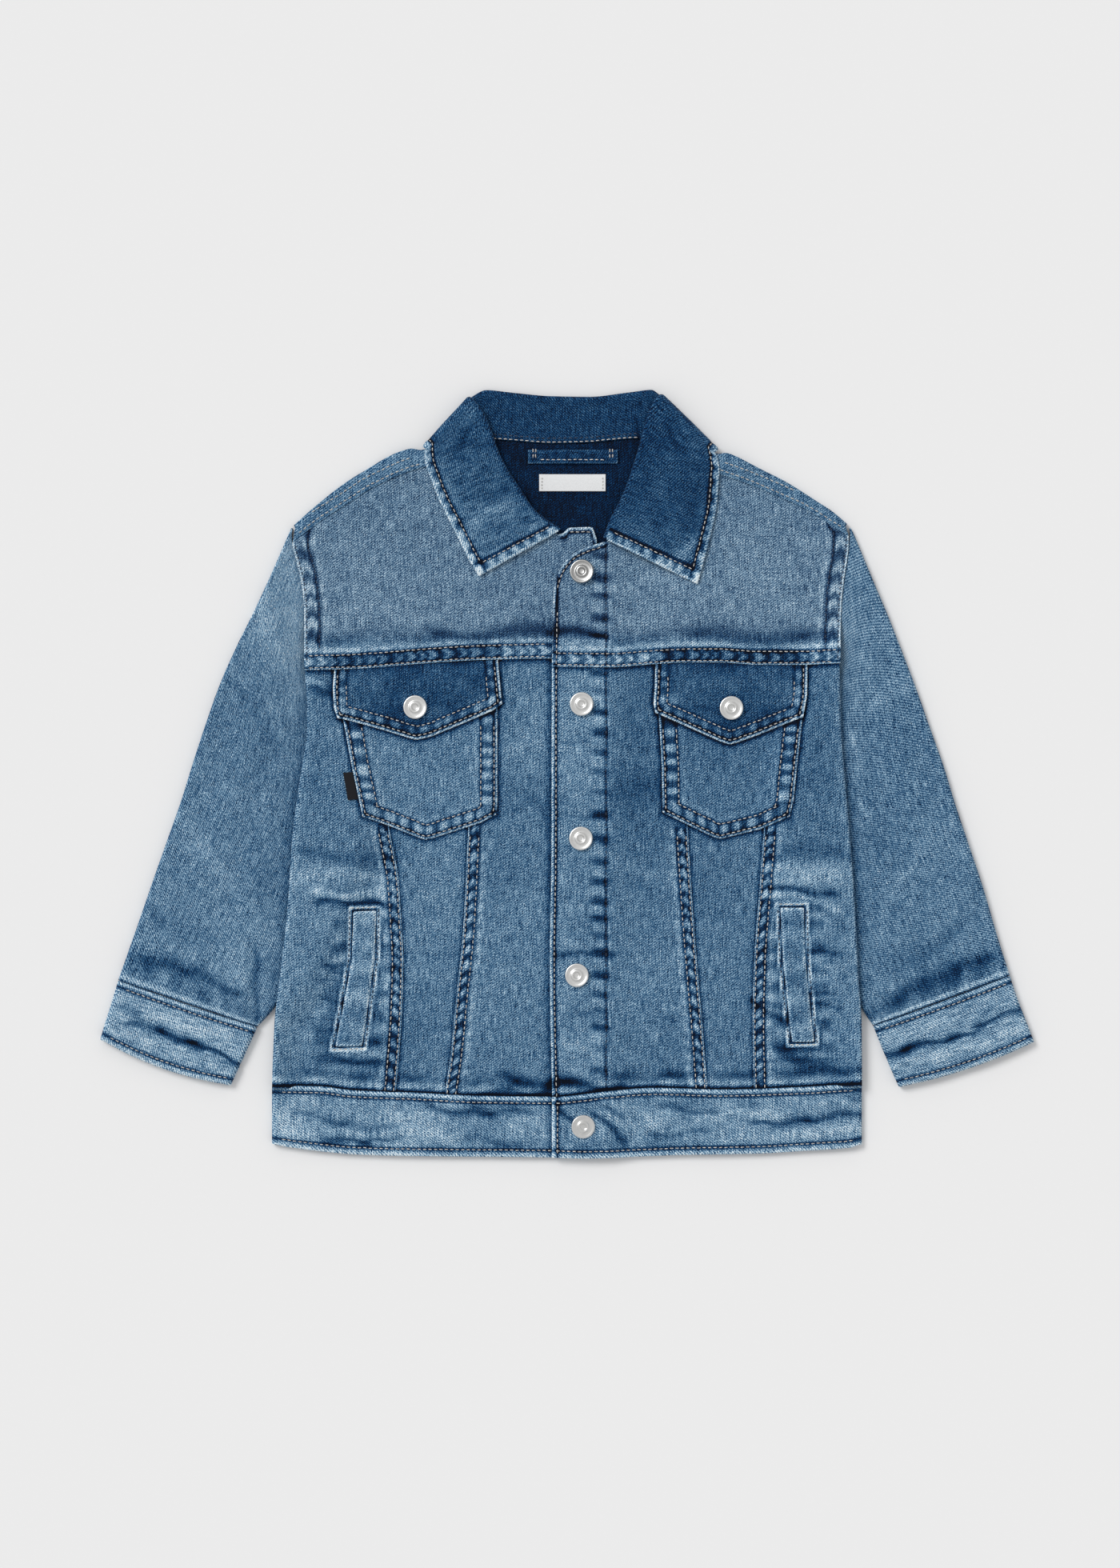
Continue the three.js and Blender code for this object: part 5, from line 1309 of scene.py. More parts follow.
class JACKET_OT_welts(bpy.types.Operator):
    """Welts of the slanted hand pockets, in their stitched frames."""
    bl_idname = "jacket.welts"
    bl_label = "Hand pocket welts"

    def execute(self, context):
        for side in SIDES:
            self.build(context, side)
        return {"FINISHED"}

    def build(self, context, side):
        def finish(near, x, y):
            height, tone = 0, 0
            for number, edge in enumerate(("left", "right", "bottom", "top")):
                along = y if edge in ("left", "right") else x
                more, shade = turned_edge(near[edge], along, 151 + number, worn=0.12)
                height, tone = height + more, tone + shade
            spots = beads(y, 17, 161 if side == "left" else 162)
            return height + 0.15 * spots, tone + 0.07 * spots

        laid_piece("welt", side, WELTS[side],
                   lambda near: 0.55 + 0.6 * step01(np.minimum(near["left"], near["right"]), 0, 2.5),
                   finish, lambda x, y: 0.50 - 0.04 * (x > 0) + 0.05 * cloud(x, y, 12, 9),
                   (0.016, 0.085), None, "pale_denim", step=1.0)


# Sleeves and cuffs

def tube_rings(lines, top_at, thickness, over, under, bends):
    """Rings of a flattened tube: over the top, half a circle round one end, back below, and round.
    lines gives for each ring share arrays the place. They start in the middle below."""
    start, end = lines(np.array([0.0])), lines(np.array([1.0]))
    along = end - start
    width = np.linalg.norm(along, axis=-1, keepdims=True)
    along = along / width
    low = thickness / 2
    low_share = ((top_at(start[..., 0], start[..., 1]) - thickness) / 2 + low) / width[..., 0]
    high_share = 1 - ((top_at(end[..., 0], end[..., 1]) - thickness) / 2 + low) / width[..., 0]

    def places(shares):
        return lines(low_share + (high_share - low_share) * shares[None])

    upper = places(over)
    upper = np.concatenate([upper, (top_at(upper[..., 0], upper[..., 1]) - low)[..., None]], -1)
    lower = places(under)
    lower = np.concatenate([lower, np.full(lower.shape[:-1] + (1,), low)], -1)

    def round_end(point, direction):
        radius = (point[:, 2] - low) / 2
        out = direction * radius[:, None] * np.sin(bends)[None]
        z = low + radius[:, None] * (1 + np.cos(bends))[None]
        return np.concatenate([point[:, None, :2] + along * out[..., None], z[..., None]], -1)

    ring = np.concatenate([upper, round_end(upper[:, -1], 1), lower,
                           round_end(upper[:, 0], -1)[:, ::-1]], 1)
    start_at = len(over) + len(bends) + len(under) // 2
    return np.roll(ring, -start_at, axis=1), len(under) - len(under) // 2 + len(bends)


def section_lines(side, rows, count, first=None):
    """Places on cross lines of a sleeve or cuff: outer to inner end, with a bow, between the rows."""
    rows = np.array(rows, float)
    index = np.arange(len(rows))
    at = np.linspace(0, len(rows) - 1, count)
    columns = [smooth_line(np.stack([index, rows[:, k]], -1))(at) for k in range(rows.shape[1])]
    sign = SIGN[side]
    outer = np.stack([sign * columns[0], columns[1]], -1)
    inner = np.stack([sign * columns[2], columns[3]], -1)
    bow = columns[4] if rows.shape[1] > 4 else np.zeros(count)
    across = inner - outer
    down = np.stack([across[:, 1], -across[:, 0]], -1)
    down = down / np.linalg.norm(down, axis=1, keepdims=True)
    down = down * -np.sign(down[:, 1:])
    fade = np.clip(1 - at / 1.0, 0, 1) if first is not None else np.zeros(count)

    def lines(shares):
        shares = np.broadcast_to(shares, (count, shares.shape[-1]))
        place = outer[:, None] + across[:, None] * shares[..., None]
        place = place + down[:, None] * (bow[:, None] * 4 * shares * (1 - shares))[..., None]
        if first is not None:
            place = place * (1 - fade)[:, None, None] + first(shares) * fade[:, None, None]
        return place
    return lines


def tube_weave(points):
    """Thread coordinates of a tube: along its rings, and along its length."""
    ring = np.linalg.norm(np.diff(points[..., :2], axis=1), axis=-1)
    across = np.cumsum(np.concatenate([np.zeros((len(points), 1)), ring], 1), 1)
    across = across - across.mean(1, keepdims=True)
    length = np.linalg.norm(np.diff(points.mean(1), axis=0), axis=-1)
    along = np.broadcast_to(np.r_[0, np.cumsum(length)][:, None], across.shape)
    return np.stack([across, -along, 0 * along], -1), along


class JACKET_OT_sleeves(bpy.types.Operator):
    """Sleeves laid flat: tubes that start under the armhole strip and lie partly under the body."""
    bl_idname = "jacket.sleeves"
    bl_label = "Sleeves"

    def execute(self, context):
        for side in SIDES:
            self.build(context, side)
        return {"FINISHED"}

    def build(self, context, side):
        def armhole(shares):
            y = 154.2 + (60 - 154.2) * shares
            clear = -1.3 + 2.6 * step01(y, 132, 152) + 2.1 * (1 - step01(y, 58, 70))
            return np.stack([SIGN[side] * (body_edge[side](y) + clear), y], -1)

        lines = section_lines(side, SLEEVES[side], 165, armhole)
        over = even_steps(100, 2.0, near=(0, 0.6, 1.4))
        under = np.linspace(1, 0, 24)
        points, _ = tube_rings(lines, sleeve_top, CLOTH, over, under,
                                  np.radians([20, 45, 70, 90, 110, 135, 160]))
        if side == "left":
            points = points[:, ::-1]
        x, y = points[..., 0], points[..., 1]
        weave, along = tube_weave(points)
        _, tone = creases_at(SLEEVE_CREASES, x, y)
        length = along[-1, 0]
        base = np.interp(along / length, [0, 0.12, 0.35, 0.6, 0.85, 0.96, 1],
                         [0.52, 0.51, 0.455, 0.445, 0.50, 0.48, 0.49] if side == "left"
                         else [0.48, 0.47, 0.45, 0.44, 0.465, 0.44, 0.47])
        beside = np.abs(x) - edge_at(x, y)
        shadow = -0.10 * hill(beside - 1, 3.5) * (1 - step01(y, 40, 80))
        tone = (tone + base + shadow + 0.025 * cloud(x, y, 26, 14) + 0.02 * cloud(x, y, 9, 15)
                + 0.03 * hill(beside - 6, 5) * step01(y, 60, 90))
        to_cuff = length - along
        tone = tone + 0.09 * beads(x * 1.05, 17, 73) * hill(to_cuff - 9, 6) - 0.05 * hill(to_cuff - 9, 6)
        # A pale strip near the sleeve's end, and painted shade right at its end, beside the cuff's edge
        tone = tone + 0.20 * shelf(to_cuff, 0.9, 3.4, 0.8) - 0.24 * hill(to_cuff, 0.6)
        wash = 0.12 * (1 - 0.7 * step01(along, 0.3 * length, length))
        cloth_piece(f"denim_sleeve_{side}", f"sleeve_{side}", points, tone, weave, "denim",
                    tube=True, flat=(0.245, 0.325), area=0.0465, wash=wash)


class JACKET_OT_cuffs(bpy.types.Operator):
    """Cuffs: double bands with a pale top edge, doubled stitch rows and a deep soft crease."""
    bl_idname = "jacket.cuffs"
    bl_label = "Cuffs"

    def execute(self, context):
        for side in SIDES:
            self.build(context, side)
        return {"FINISHED"}

    def build(self, context, side):
        lines = section_lines(side, CUFFS[side], 34)

        def top_at(x, y):
            height, _ = creases_at(CUFF_CREASES, x, y)
            return CUFF_HEIGHT + height + 0.25 * cloud(x, y, 18, 16)

        over = even_steps(86, 1.2, near=(0, 0.6, 1.4))
        points, lead = tube_rings(lines, top_at, BAND, over, np.linspace(1, 0, 24),
                                  np.radians([15, 35, 55, 75, 90, 105, 125, 145, 165]))
        if side == "left":
            points = points[:, ::-1]
        x, y = points[..., 0], points[..., 1]
        weave, along = tube_weave(points)
        length = along[-1, 0]
        _, tone = creases_at(CUFF_CREASES, x, y)
        upper = points[..., 2] > 3
        from_top, from_end = along, length - along
        height, edge_tone = turned_edge(from_top, x, 81, worn=0.17, row=CUFF_ROWS[0])
        low_height, low_tone = turned_edge(from_end, x, 82, worn=0.14, row=CUFF_ROWS[1])
        tone = tone + 0.60 + edge_tone + low_tone + 0.05 * cloud(x, y, 14, 17)
        # Painted shade in the gap along the cuff's top edge
        tone = tone - 0.34 * hill(from_top, 0.5)
        tone = tone - 0.07 * np.abs(beads(x, 15, 83)) * hill(from_end - 7, 3.5)
        if side == "right":
            tone = tone - 0.05
        points[..., 2] += np.where(upper, height + low_height, 0)
        # Grain runs across the band
        weave = np.stack([weave[..., 1], weave[..., 0], weave[..., 2]], -1)
        outer = cloth_piece(f"denim_cuff_{side}", f"cuff_{side}", points, tone, weave, "band_denim",
                            tube=True, thickness=BAND, flat=(0.184, 0.043), held="folded",
                            inside=0.3)
        first, last = lead + 1, lead + len(over) - 2
        if side == "left":
            first, last = outer.shape[1] - 1 - last, outer.shape[1] - 1 - first
        for inset in (CUFF_ROWS[0], length - CUFF_ROWS[1]):
            row = np.interp(inset, along[:, 0], np.arange(len(along)))
            low = int(row)
            line = outer[low] * (1 - row + low) + outer[low + 1] * (row - low)
            line = line[first:last]
            sew("pale", line[:, 0], line[:, 1], line[:, 2])


# Back

class JACKET_OT_back(bpy.types.Operator):
    """The back panel, and the yoke that comes over the shoulders to the seams in front."""
    bl_idname = "jacket.back"
    bl_label = "Back"

    def execute(self, context):
        def relief(x, y):
            """Shallow hollows on the side that rests: never below the floor."""
            return 0.25 + 0.25 * cloud(x, y, 30, 21)

        panel = make_panel(lambda y: side_base("left", y), lambda y: side_base("right", y),
                           lambda x: waist_back_top(x) - 0.8, lambda x: BACK_YOKE_SEAM - 0.15 + 0 * x)
        steps = [even_steps(length, 3.6, near=(0, 1.2, 2.8)) for length in (345, 268)]
        x, y = panel_points(panel, *steps)
        free = step01(edge_at(x, y) - np.abs(x), 0, 10)
        z = back_underside(x, y) + CLOTH / 2 + relief(x, y) * free
        points = np.stack([x, y, z], -1)
        tone = np.full(x.shape, 0.2)
        points, tone = with_turn("left", points, tone, 1)
        points, tone = with_turn("right", points, tone, 1)
        # The outer face of the back is the one that rests, so its look is on the inner points
        points = points[:, ::-1]
        x, y = points[..., 0], points[..., 1]
        seam = BACK_YOKE_SEAM - y
        look = 0.46 + 0.03 * cloud(x, y, 24, 22) + 0.1 * hill(seam - 1, 1.5)
        for line in (-62, 62):
            beside = x - line - np.sign(line) * 0.10 * y
            look = look + 0.10 * beads(y, 8.2, 24) * shelf(beside, -4, 4, 1.0) - 0.1 * hill(beside, 1.2)
        cloth_piece("denim_back_panel", "back_panel", points, look, flat_weave(x, y), "denim",
                    flat=(0.355, 0.272), held="folded", rests_on=("floor",), inside=0.2)
        self.yoke(relief)
        return {"FINISHED"}

    def yoke(self, relief):
        """Columns go up the back, over the shoulder fold and down to the seam in front; those at the
        neck stop at the neck seam."""
        up = np.r_[np.linspace(0, 0.8, 26), np.linspace(0.82, 1, 12)]
        turn = np.linspace(0, 1, 10)[1:] * np.pi
        front = np.linspace(0, 1, 14)[1:]
        grids = {}
        for side in SIDES:
            rows = np.array(SHOULDERS[side], float)
            share = np.r_[np.linspace(1, 0.6, 26), np.linspace(0.59, 0.2, 24), np.linspace(0.18, 0, 10)]
            sx = rows[0, 0] + (rows[-1, 0] - rows[0, 0]) * share
            line = shoulder_line[side]
            slope = (line(sx + FOLD_RADIUS) - line(sx - FOLD_RADIUS)) / (2 * FOLD_RADIUS)
            slant = np.clip(slope, -0.9, 0)
            out = np.stack([-slant, np.ones_like(slant)], -1)
            out = out / np.linalg.norm(out, axis=1, keepdims=True)
            base = np.stack([sx, line(sx)], -1) - out * (FOLD_RADIUS + CLOTH / 2)
            seam_x = SEAM_CORNER + FOLD_RADIUS + (body_edge[side](146) - SEAM_CORNER - FOLD_RADIUS) * share
            seam = np.stack([seam_x, shoulder_seam[side](seam_x) - 0.9], -1)
            y = BACK_YOKE_SEAM + 0.15 + (base[None, :, 1] - BACK_YOKE_SEAM - 0.15) * up[:, None]
            x = base[None, :, 0] * body_edge[side](y) / body_edge[side](base[:, 1])[None]
            free = step01(body_edge[side](y) - x, 0, 10) * (1 - step01(up, 0.85, 1))[:, None]
            z = back_underside(SIGN[side] * x, y) + CLOTH / 2 + relief(x, y) * free
            flat = np.stack([SIGN[side] * x, y, z], -1)
            place = base[None] + out[None] * (FOLD_RADIUS * np.sin(turn))[:, None, None]
            fold_z = z[-1][None] + FOLD_RADIUS * (1 - np.cos(turn))[:, None]
            fold = np.concatenate([place * [SIGN[side], 1], fold_z[..., None]], -1)
            share = front[:, None, None]
            over = fold[-1][None, :, :2] * (1 - share) + (seam * [SIGN[side], 1])[None] * share
            left_over = np.hypot(*(over - over[-1:]).transpose(2, 0, 1))
            strip, _ = seam_strip(left_over, np.abs(over[..., 0]), 8.8, SHOULDER_ROWS, 8.5, 91)
            over_z = front_middle("left", over[..., 0], over[..., 1])
            over_z = over_z + 0.75 * step01(front, 0, 0.35)[:, None]
            over_z = over_z + (strip - 0.5 * (left_over < 9)) * step01(front, 0, 0.3)[:, None] * 0.8
            grids[side] = np.concatenate([flat, fold, np.concatenate([over, over_z[..., None]], -1)], 0)
        neck_x = np.linspace(-66, 66, 40)
        top = collar_back_seam(neck_x) - 0.8
        y = BACK_YOKE_SEAM + 0.15 + (top[None] - BACK_YOKE_SEAM - 0.15) * up[:, None]
        edge_low, edge_high = edge_at(neck_x[None] + 0 * y, y), edge_at(neck_x, top)
        x = neck_x[None] * edge_low / edge_high[None]
        z = back_underside(x, y) + CLOTH / 2 + relief(x, y) * (1 - step01(up, 0.9, 1))[:, None]
        flat = np.stack([x, y, z], -1)
        spare = np.repeat(flat[-1:], len(turn) + len(front), axis=0)
        neck = np.concatenate([flat, spare], 0)
        points = np.concatenate([grids["left"], neck, grids["right"][:, ::-1]], 1)
        rows, columns = points.shape[:2]
        keep = np.ones((rows - 1, columns - 1), bool)
        side_columns = grids["left"].shape[1]
        keep[len(up) - 1:, side_columns - 1:columns - side_columns] = False
        x, y = points[..., 0], points[..., 1]
        row = np.arange(rows)[:, None] + 0 * x
        in_front = row >= len(up) + len(turn) - 3
        tone = np.where(in_front, 0.44, 0.105 + 0.03 * cloud(x, y, 20, 23))
        seam_y = by_side(x, *(shoulder_seam[side](np.abs(x)) for side in SIDES))
        slope = by_side(x, *(slope_of(shoulder_seam[side], np.abs(x)) for side in SIDES))
        from_seam = (y - seam_y) / np.hypot(1, slope) + 0.9
        _, strip_tone = seam_strip(from_seam, np.abs(x), 8.8, SHOULDER_ROWS, 8.5, 91, contrast=0.8)
        ridge = 0.07 * hill(from_seam - 12, 3.0)
        tone = tone + np.where(in_front, strip_tone - 0.02 + ridge, 0)
        wash = np.where(in_front, 0.6, 0.0)
        cloth_piece("denim_back_yoke", "back_yoke", points, tone, flat_weave(x, y), "inside_denim",
                    flat=(0.356, 0.150), area=0.047, held="folded", rests_on=("floor",), keep=keep,
                    wash=wash, inside=0.44)
        for side in SIDES:
            for inset in SHOULDER_ROWS:
                x = np.linspace(98 if inset > 5 else 92, body_edge[side](150) - 3, 240)
                slant = np.hypot(1, slope_of(shoulder_seam[side], x))
                y = shoulder_seam[side](x) + (inset - 0.9) * slant
                inside = y < shoulder_line[side](x) - 2.2
                x, y = SIGN[side] * x[inside], y[inside]
                waves = front_middle("left", x, y) + CLOTH / 2 + 0.72
                sew("pale", x, y, waves)


# Collar

def collar_section(edge, roll, seam, leaf_z, stand_z, leaf_steps, roll_angles, stand_steps):
    """Points from the leaf's edge to the fold, half a circle round it, and down the stand."""
    out = (roll - edge) / np.linalg.norm(roll - edge)
    leaf = edge + (roll - edge) * leaf_steps[:, None]
    z = leaf_z(leaf_steps, leaf)
    share = (1 - np.cos(roll_angles)) / 2
    fold = roll + out * (ROLL_RADIUS * np.sin(roll_angles))[:, None]
    fold_z = z[-1] + (stand_z - z[-1]) * share
    stand = roll + (seam - roll) * stand_steps[:, None]
    return np.concatenate([np.c_[leaf, z], np.c_[fold, fold_z], np.c_[stand, np.full(len(stand), stand_z)]])


def visible_section(row, *rest):
    row = np.array(row, float)
    edge, roll, seam = row[:2], row[2:4], row[4:]
    out = (roll - edge) / np.linalg.norm(roll - edge)
    return collar_section(edge, roll - out * (ROLL_RADIUS + BAND / 2), seam, *rest)


def smooth_rows(rows, at):
    """The cubic of smooth_line through whole rows of points, at fractional row numbers."""
    steps = np.diff(rows, axis=0)
    before, after = np.concatenate([steps[:1], steps]), np.concatenate([steps, steps[-1:]])
    both = before + after
    slopes = np.where(before * after > 0, 2 * before * after / np.where(both == 0, 1, both), 0)
    i = np.clip(np.floor(at).astype(int), 0, len(rows) - 2)
    t = (at - i)[:, None, None]
    r = 1 - t
    return (rows[i] * r * r * (1 + 2 * t) + slopes[i] * t * r * r
            + rows[i + 1] * t * t * (3 - 2 * t) - slopes[i + 1] * t * t * r)


class JACKET_OT_collar(bpy.types.Operator):
    """The collar as one folded band: leaf, fold and stand, worn pale along its edges and points."""
    bl_idname = "jacket.collar"
    bl_label = "Collar"

    def execute(self, context):
        leaf_steps = even_steps(52, 1.45)
        steps = (leaf_steps, np.radians([20, 45, 70, 90, 110, 135, 160]), np.linspace(0, 1, 18))

        def front_leaf(side, stand_z):
            def at(step, place):
                lying = front_top(side, place[:, 0], place[:, 1]) + LAY_GAP + BAND / 2
                over_stand = stand_z + 2 * ROLL_RADIUS
                return np.maximum(lying, lying + (over_stand - lying) * step01(step, 0.1, 0.5))
            return at

        def back_leaf(step, _):
            return np.full(len(step), BACK_STAND - 2 * ROLL_RADIUS)

        def front_rows(side):
            made = []
            for row in COLLAR_FRONTS[side]:
                stand_z = float(front_middle(side, row[4], row[5])) + LAY_GAP
                made.append(visible_section(row, front_leaf(side, stand_z), stand_z, *steps))
            return made

        def side_rows(side):
            edge, roll, seam, out = (np.array(place, float) for place in COLLAR_SIDES[side])
            stand_z = float(front_middle(side, seam[0], seam[1])) + LAY_GAP
            front = collar_section(edge, roll, seam, front_leaf(side, stand_z), stand_z, *steps)
            back = collar_section(edge, roll, seam, back_leaf, BACK_STAND, *steps)
            made = []
            for angle in np.radians([90, 45, 0, -45]):
                radius = (front[:, 2] - back[:, 2]) / 2
                place = front[:, :2] + out * (radius * np.cos(angle))[:, None]
                made.append(np.c_[place, back[:, 2] + radius * (1 + np.sin(angle))])
            return made

        keys = np.array(front_rows("left") + side_rows("left")
                        + [visible_section(row, back_leaf, BACK_STAND, *steps) for row in COLLAR_BACK]
                        + side_rows("right")[::-1] + front_rows("right")[::-1])
        way = np.linalg.norm(np.diff(keys, axis=0), axis=-1).mean(1)
        way = np.r_[0, np.cumsum(way)]
        total = way[-1]
        places = total * even_steps(total, 1.45)
        points = smooth_rows(keys, np.interp(places, way, np.arange(len(keys))))
        across = np.linalg.norm(np.diff(points, axis=1), axis=-1)
        from_edge = np.cumsum(np.concatenate([np.zeros((len(points), 1)), across], 1), 1)
        along = np.broadcast_to(places[:, None], from_edge.shape)
        from_left, from_right = along, total - along
        leaf = np.arange(points.shape[1]) < len(leaf_steps)
        x, y = points[..., 0], points[..., 1]
        height, tone = creases_at(COLLAR_CREASES, x, y)
        height = height + 0.3 * cloud(x, y, 24, 25)
        for distance, seed, row in ((from_edge, 171, COLLAR_ROW), (from_left, 172, COLLAR_END_ROW),
                                    (from_right, 173, COLLAR_END_ROW)):
            line = along if row == COLLAR_ROW else from_edge
            more, shade = turned_edge(distance, line, seed, worn=0.26, row=row)
            spots = beads(line, 8.0, seed + 9)
            inside = shelf(distance, 1.2, row - 0.8, 0.8) * leaf
            height = height + (more + 0.22 * spots * inside) * leaf
            tone = tone + (shade + (0.21 * np.tanh(2 * spots) + 0.12) * inside) * leaf
        left_part, right_part = hill(from_left, 120), hill(from_right, 120)
        base = 0.225 + 0.13 * left_part + 0.045 * right_part
        for distance in (from_left, from_right):
            corner = np.hypot(distance, from_edge)
            tone = tone + 0.20 * hill(corner, 8) * leaf
            tone = tone + 0.05 * hill(distance - 10, 12) * leaf
        brushed = 0.045 * cloud(along, from_edge * 0.35, 2.6, 32) * (0.5 + left_part)
        base = base + 0.035 * cloud(x, y, 17, 26) + brushed
        inside_tone = np.where(leaf, base, 0.225)
        fold_at = from_edge[:, [len(leaf_steps) - 1]]
        upper = step01(from_edge, fold_at - 12, fold_at)
        inside_tone = inside_tone - 0.03 * upper * leaf
        # The back leaf lies flat on the floor
        lying_free = step01(points[..., 2], 1.5, 4)
        normal_lift = np.where(leaf, height, 0.2 * cloud(x, y, 24, 27)) * lying_free
        cells = grid_cells(*points.shape[:2])
        normals = point_normals(points.reshape(-1, 3), cells).reshape(points.shape)
        points = points + normals * normal_lift[..., None]
        weave = np.stack([along, from_edge, 0 * along], -1)
        outer = cloth_piece("denim_collar", "collar", points, inside_tone + tone, weave, "dark_denim",
                            thickness=BAND, flat=(0.40, 0.082), area=0.0245, held="folded",
                            rests_on=("denim_front_yoke_left", "denim_front_yoke_right"), inside=0.24)
        self.sew_rows(outer, from_edge, places, total, len(leaf_steps))
        return {"FINISHED"}

    def sew_rows(self, outer, from_edge, places, total, leaf_count):
        """A row inside the leaf's edge, one across each of its ends, and two along the back of the neck."""
        rows = np.flatnonzero((places > COLLAR_END_ROW) & (places < total - COLLAR_END_ROW))
        column = np.argmax(from_edge > COLLAR_ROW, axis=1)[rows]
        before, after = from_edge[rows, column - 1], from_edge[rows, column]
        share = ((COLLAR_ROW - before) / (after - before))[:, None]
        line = outer[rows, column - 1] * (1 - share) + outer[rows, column] * share
        shown = line[:, 2] > 5.5
        half = len(line) // 2
        for part, seen in ((line[:half], shown[:half]), (line[half:], shown[half:])):
            part = part[seen]
            sew("pale", part[:, 0], part[:, 1], part[:, 2])
        for distance in (COLLAR_END_ROW, total - COLLAR_END_ROW):
            row = int(np.argmin(np.abs(places - distance)))
            on_leaf = np.arange(outer.shape[1]) < leaf_count - 2
            column = np.flatnonzero((from_edge[row] > COLLAR_ROW) & on_leaf)
            line = outer[row, column]
            sew("pale", line[:, 0], line[:, 1], line[:, 2])
        x = np.linspace(-47, 44, 200)
        for inset in (0.6, 3.0):
            z = 0 * x + BACK_STAND + BAND / 2 + CLEAR
            sew("pale" if inset < 1 else "navy", x, collar_back_seam(x) + inset, z)


# Waistband

class JACKET_OT_waistband(bpy.types.Operator):
    """The waistband: one double strip all round, lapped at the centre front."""
    bl_idname = "jacket.waistband"
    bl_label = "Waistband"

    def execute(self, context):
        middle = BAND / 2
        radius = (WAIST_FRONT - middle) / 2
        ends = {side: SIGN[side] * (float(body_edge[side](-218)) - BAND / 2 - radius) for side in SIDES}
        lead = float(leading_edge(-218))
        bends = np.radians([15, 35, 55, 75, 90, 105, 125, 145, 165])
        under = np.linspace(ends["left"], ends["right"], 100)
        from_left = UNDER_EDGE
        steps = even_steps(from_left - ends["left"], 1.45, end=False)
        span_left = np.interp(steps, [0, 1], [from_left, ends["left"]])
        steps = even_steps(ends["right"] - lead, 1.45, start=False)
        span_right = ends["right"] + (lead - ends["right"]) * steps
        xs = np.concatenate([span_left, ends["left"] - radius * np.sin(bends), under,
                             ends["right"] + radius * np.sin(bends[::-1]), span_right])
        lap_z = WAIST_FRONT + WAIST_LAP * lap_lift(span_right)
        turned = middle + radius * (1 + np.cos(bends))
        zs = np.concatenate([np.full(len(span_left), WAIST_FRONT), turned, np.full(len(under), middle),
                             turned[::-1], lap_z])
        up = even_steps(37, 1.3)
        front = zs > middle + radius
        high = np.where(front, waist_top(xs), waist_back_top(xs))[:, None] + 0.5
        low = waist_bottom(xs)[:, None]
        y = low + (high - low) * up[None]
        x = xs[:, None] + 0 * y
        z = zs[:, None] + 0 * y
        height, tone = creases_at(WAIST_CREASES, x, y)
        shown = (zs > middle + 1.5 * radius)[:, None]
        from_top, from_low = high - y, y - low
        top_height, top_tone = turned_edge(from_top, x, 181, worn=0.18, row=WAIST_ROWS[0])
        low_height, low_tone = turned_edge(from_low, x, 182, worn=0.14, row=WAIST_ROWS[1])
        relief = height + top_height + low_height + 0.3 * cloud(x, y, 22, 28)
        z = z + np.where(shown, relief * step01(np.minimum(x - ends["left"], ends["right"] - x), 0, 6), 0)
        base = 0.53 + 0.06 * step01(-x, 60, 110) + 0.02 * step01(x, 60, 90)
        tone = tone + base + top_tone + low_tone + 0.06 * cloud(x, y * 1.5, 13, 29)
        tone = tone - 0.07 * np.abs(beads(x, 18, 183)) * hill(from_low - 7, 4)
        tone = tone - 0.08 * hill(from_top - 8, 4) * (0.5 + 0.5 * beads(x, 30, 184))
        # Painted shade in the gap along the waistband's top edge
        tone = tone - 0.45 * hill(from_top, 0.55)
        is_right = np.arange(len(xs)) >= len(xs) - len(span_right)
        from_lead = np.where(is_right, xs - lead, 99)[:, None] + 0 * y
        lead_height, lead_tone = turned_edge(from_lead, y, 185, worn=0.22, row=WAIST_END_ROW)
        tone = tone + lead_tone
        z = z + np.where(is_right[:, None], lead_height, 0)
        on_left = np.arange(len(xs)) < len(span_left)
        # Painted shadow on the under end, beside the lapped end's edge
        tone = tone - 0.2 * hill(x - lead + 1.0, 2.2) * on_left[:, None]
        way = np.r_[0, np.cumsum(np.hypot(np.diff(xs), np.diff(zs)))][:, None] + 0 * y
        weave = np.stack([way, y, 0 * y], -1)
        outer = cloth_piece("denim_waistband", "waistband", np.stack([x, y, z], -1), tone, weave,
                            "band_denim", thickness=BAND, flat=(0.76, 0.043), held="folded",
                            rests_on=("floor",), inside=0.3)
        for inset, edge in zip(WAIST_ROWS, (from_top, from_low)):
            for part in (on_left, is_right):
                rows = np.flatnonzero(part)[2:-2]
                column = np.argmin(np.abs(edge[rows] - inset), axis=1)
                line = outer[rows, column]
                exact = (high[rows, 0] - inset) if edge is from_top else (low[rows, 0] + inset)
                sew("pale", line[:, 0], exact, line[:, 2])
        rows = np.flatnonzero(is_right)
        near = rows[np.argmin(np.abs(xs[rows] - lead - WAIST_END_ROW))]
        line = outer[near, 4:-4]
        sew("pale", line[:, 0], line[:, 1], line[:, 2])
        return {"FINISHED"}


# Small pieces

def small_panel(name, node, outline, top_at, thickness, material, step=0.8):
    """A tape or loop: a grid between its lines, with a rounded rim."""
    panel = outline_panel(outline)
    xs = [row[0] for row in outline["top"] + outline["bottom"]]
    ys = [row[0] for row in outline["left"] + outline["right"]]
    x, y = panel_points(panel, even_steps(np.ptp(xs), step, near=(0, 0.3, 0.8)),
                        even_steps(np.ptp(ys), step, near=(0, 0.3, 0.8)))
    points = np.stack([x, y, top_at(x, y) - thickness / 2], -1)
    vertices, faces, _ = wall(points, thickness)
    made = add_mesh(name, vertices, faces, material)
    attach(made, "root")
    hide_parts(node)
    return panel


def box_outline(left, right, bottom, top):
    return {"left": [[bottom, left], [top, left]], "right": [[bottom, right], [top, right]],
            "bottom": [[left, bottom], [right, bottom]], "top": [[left, top], [right, top]]}


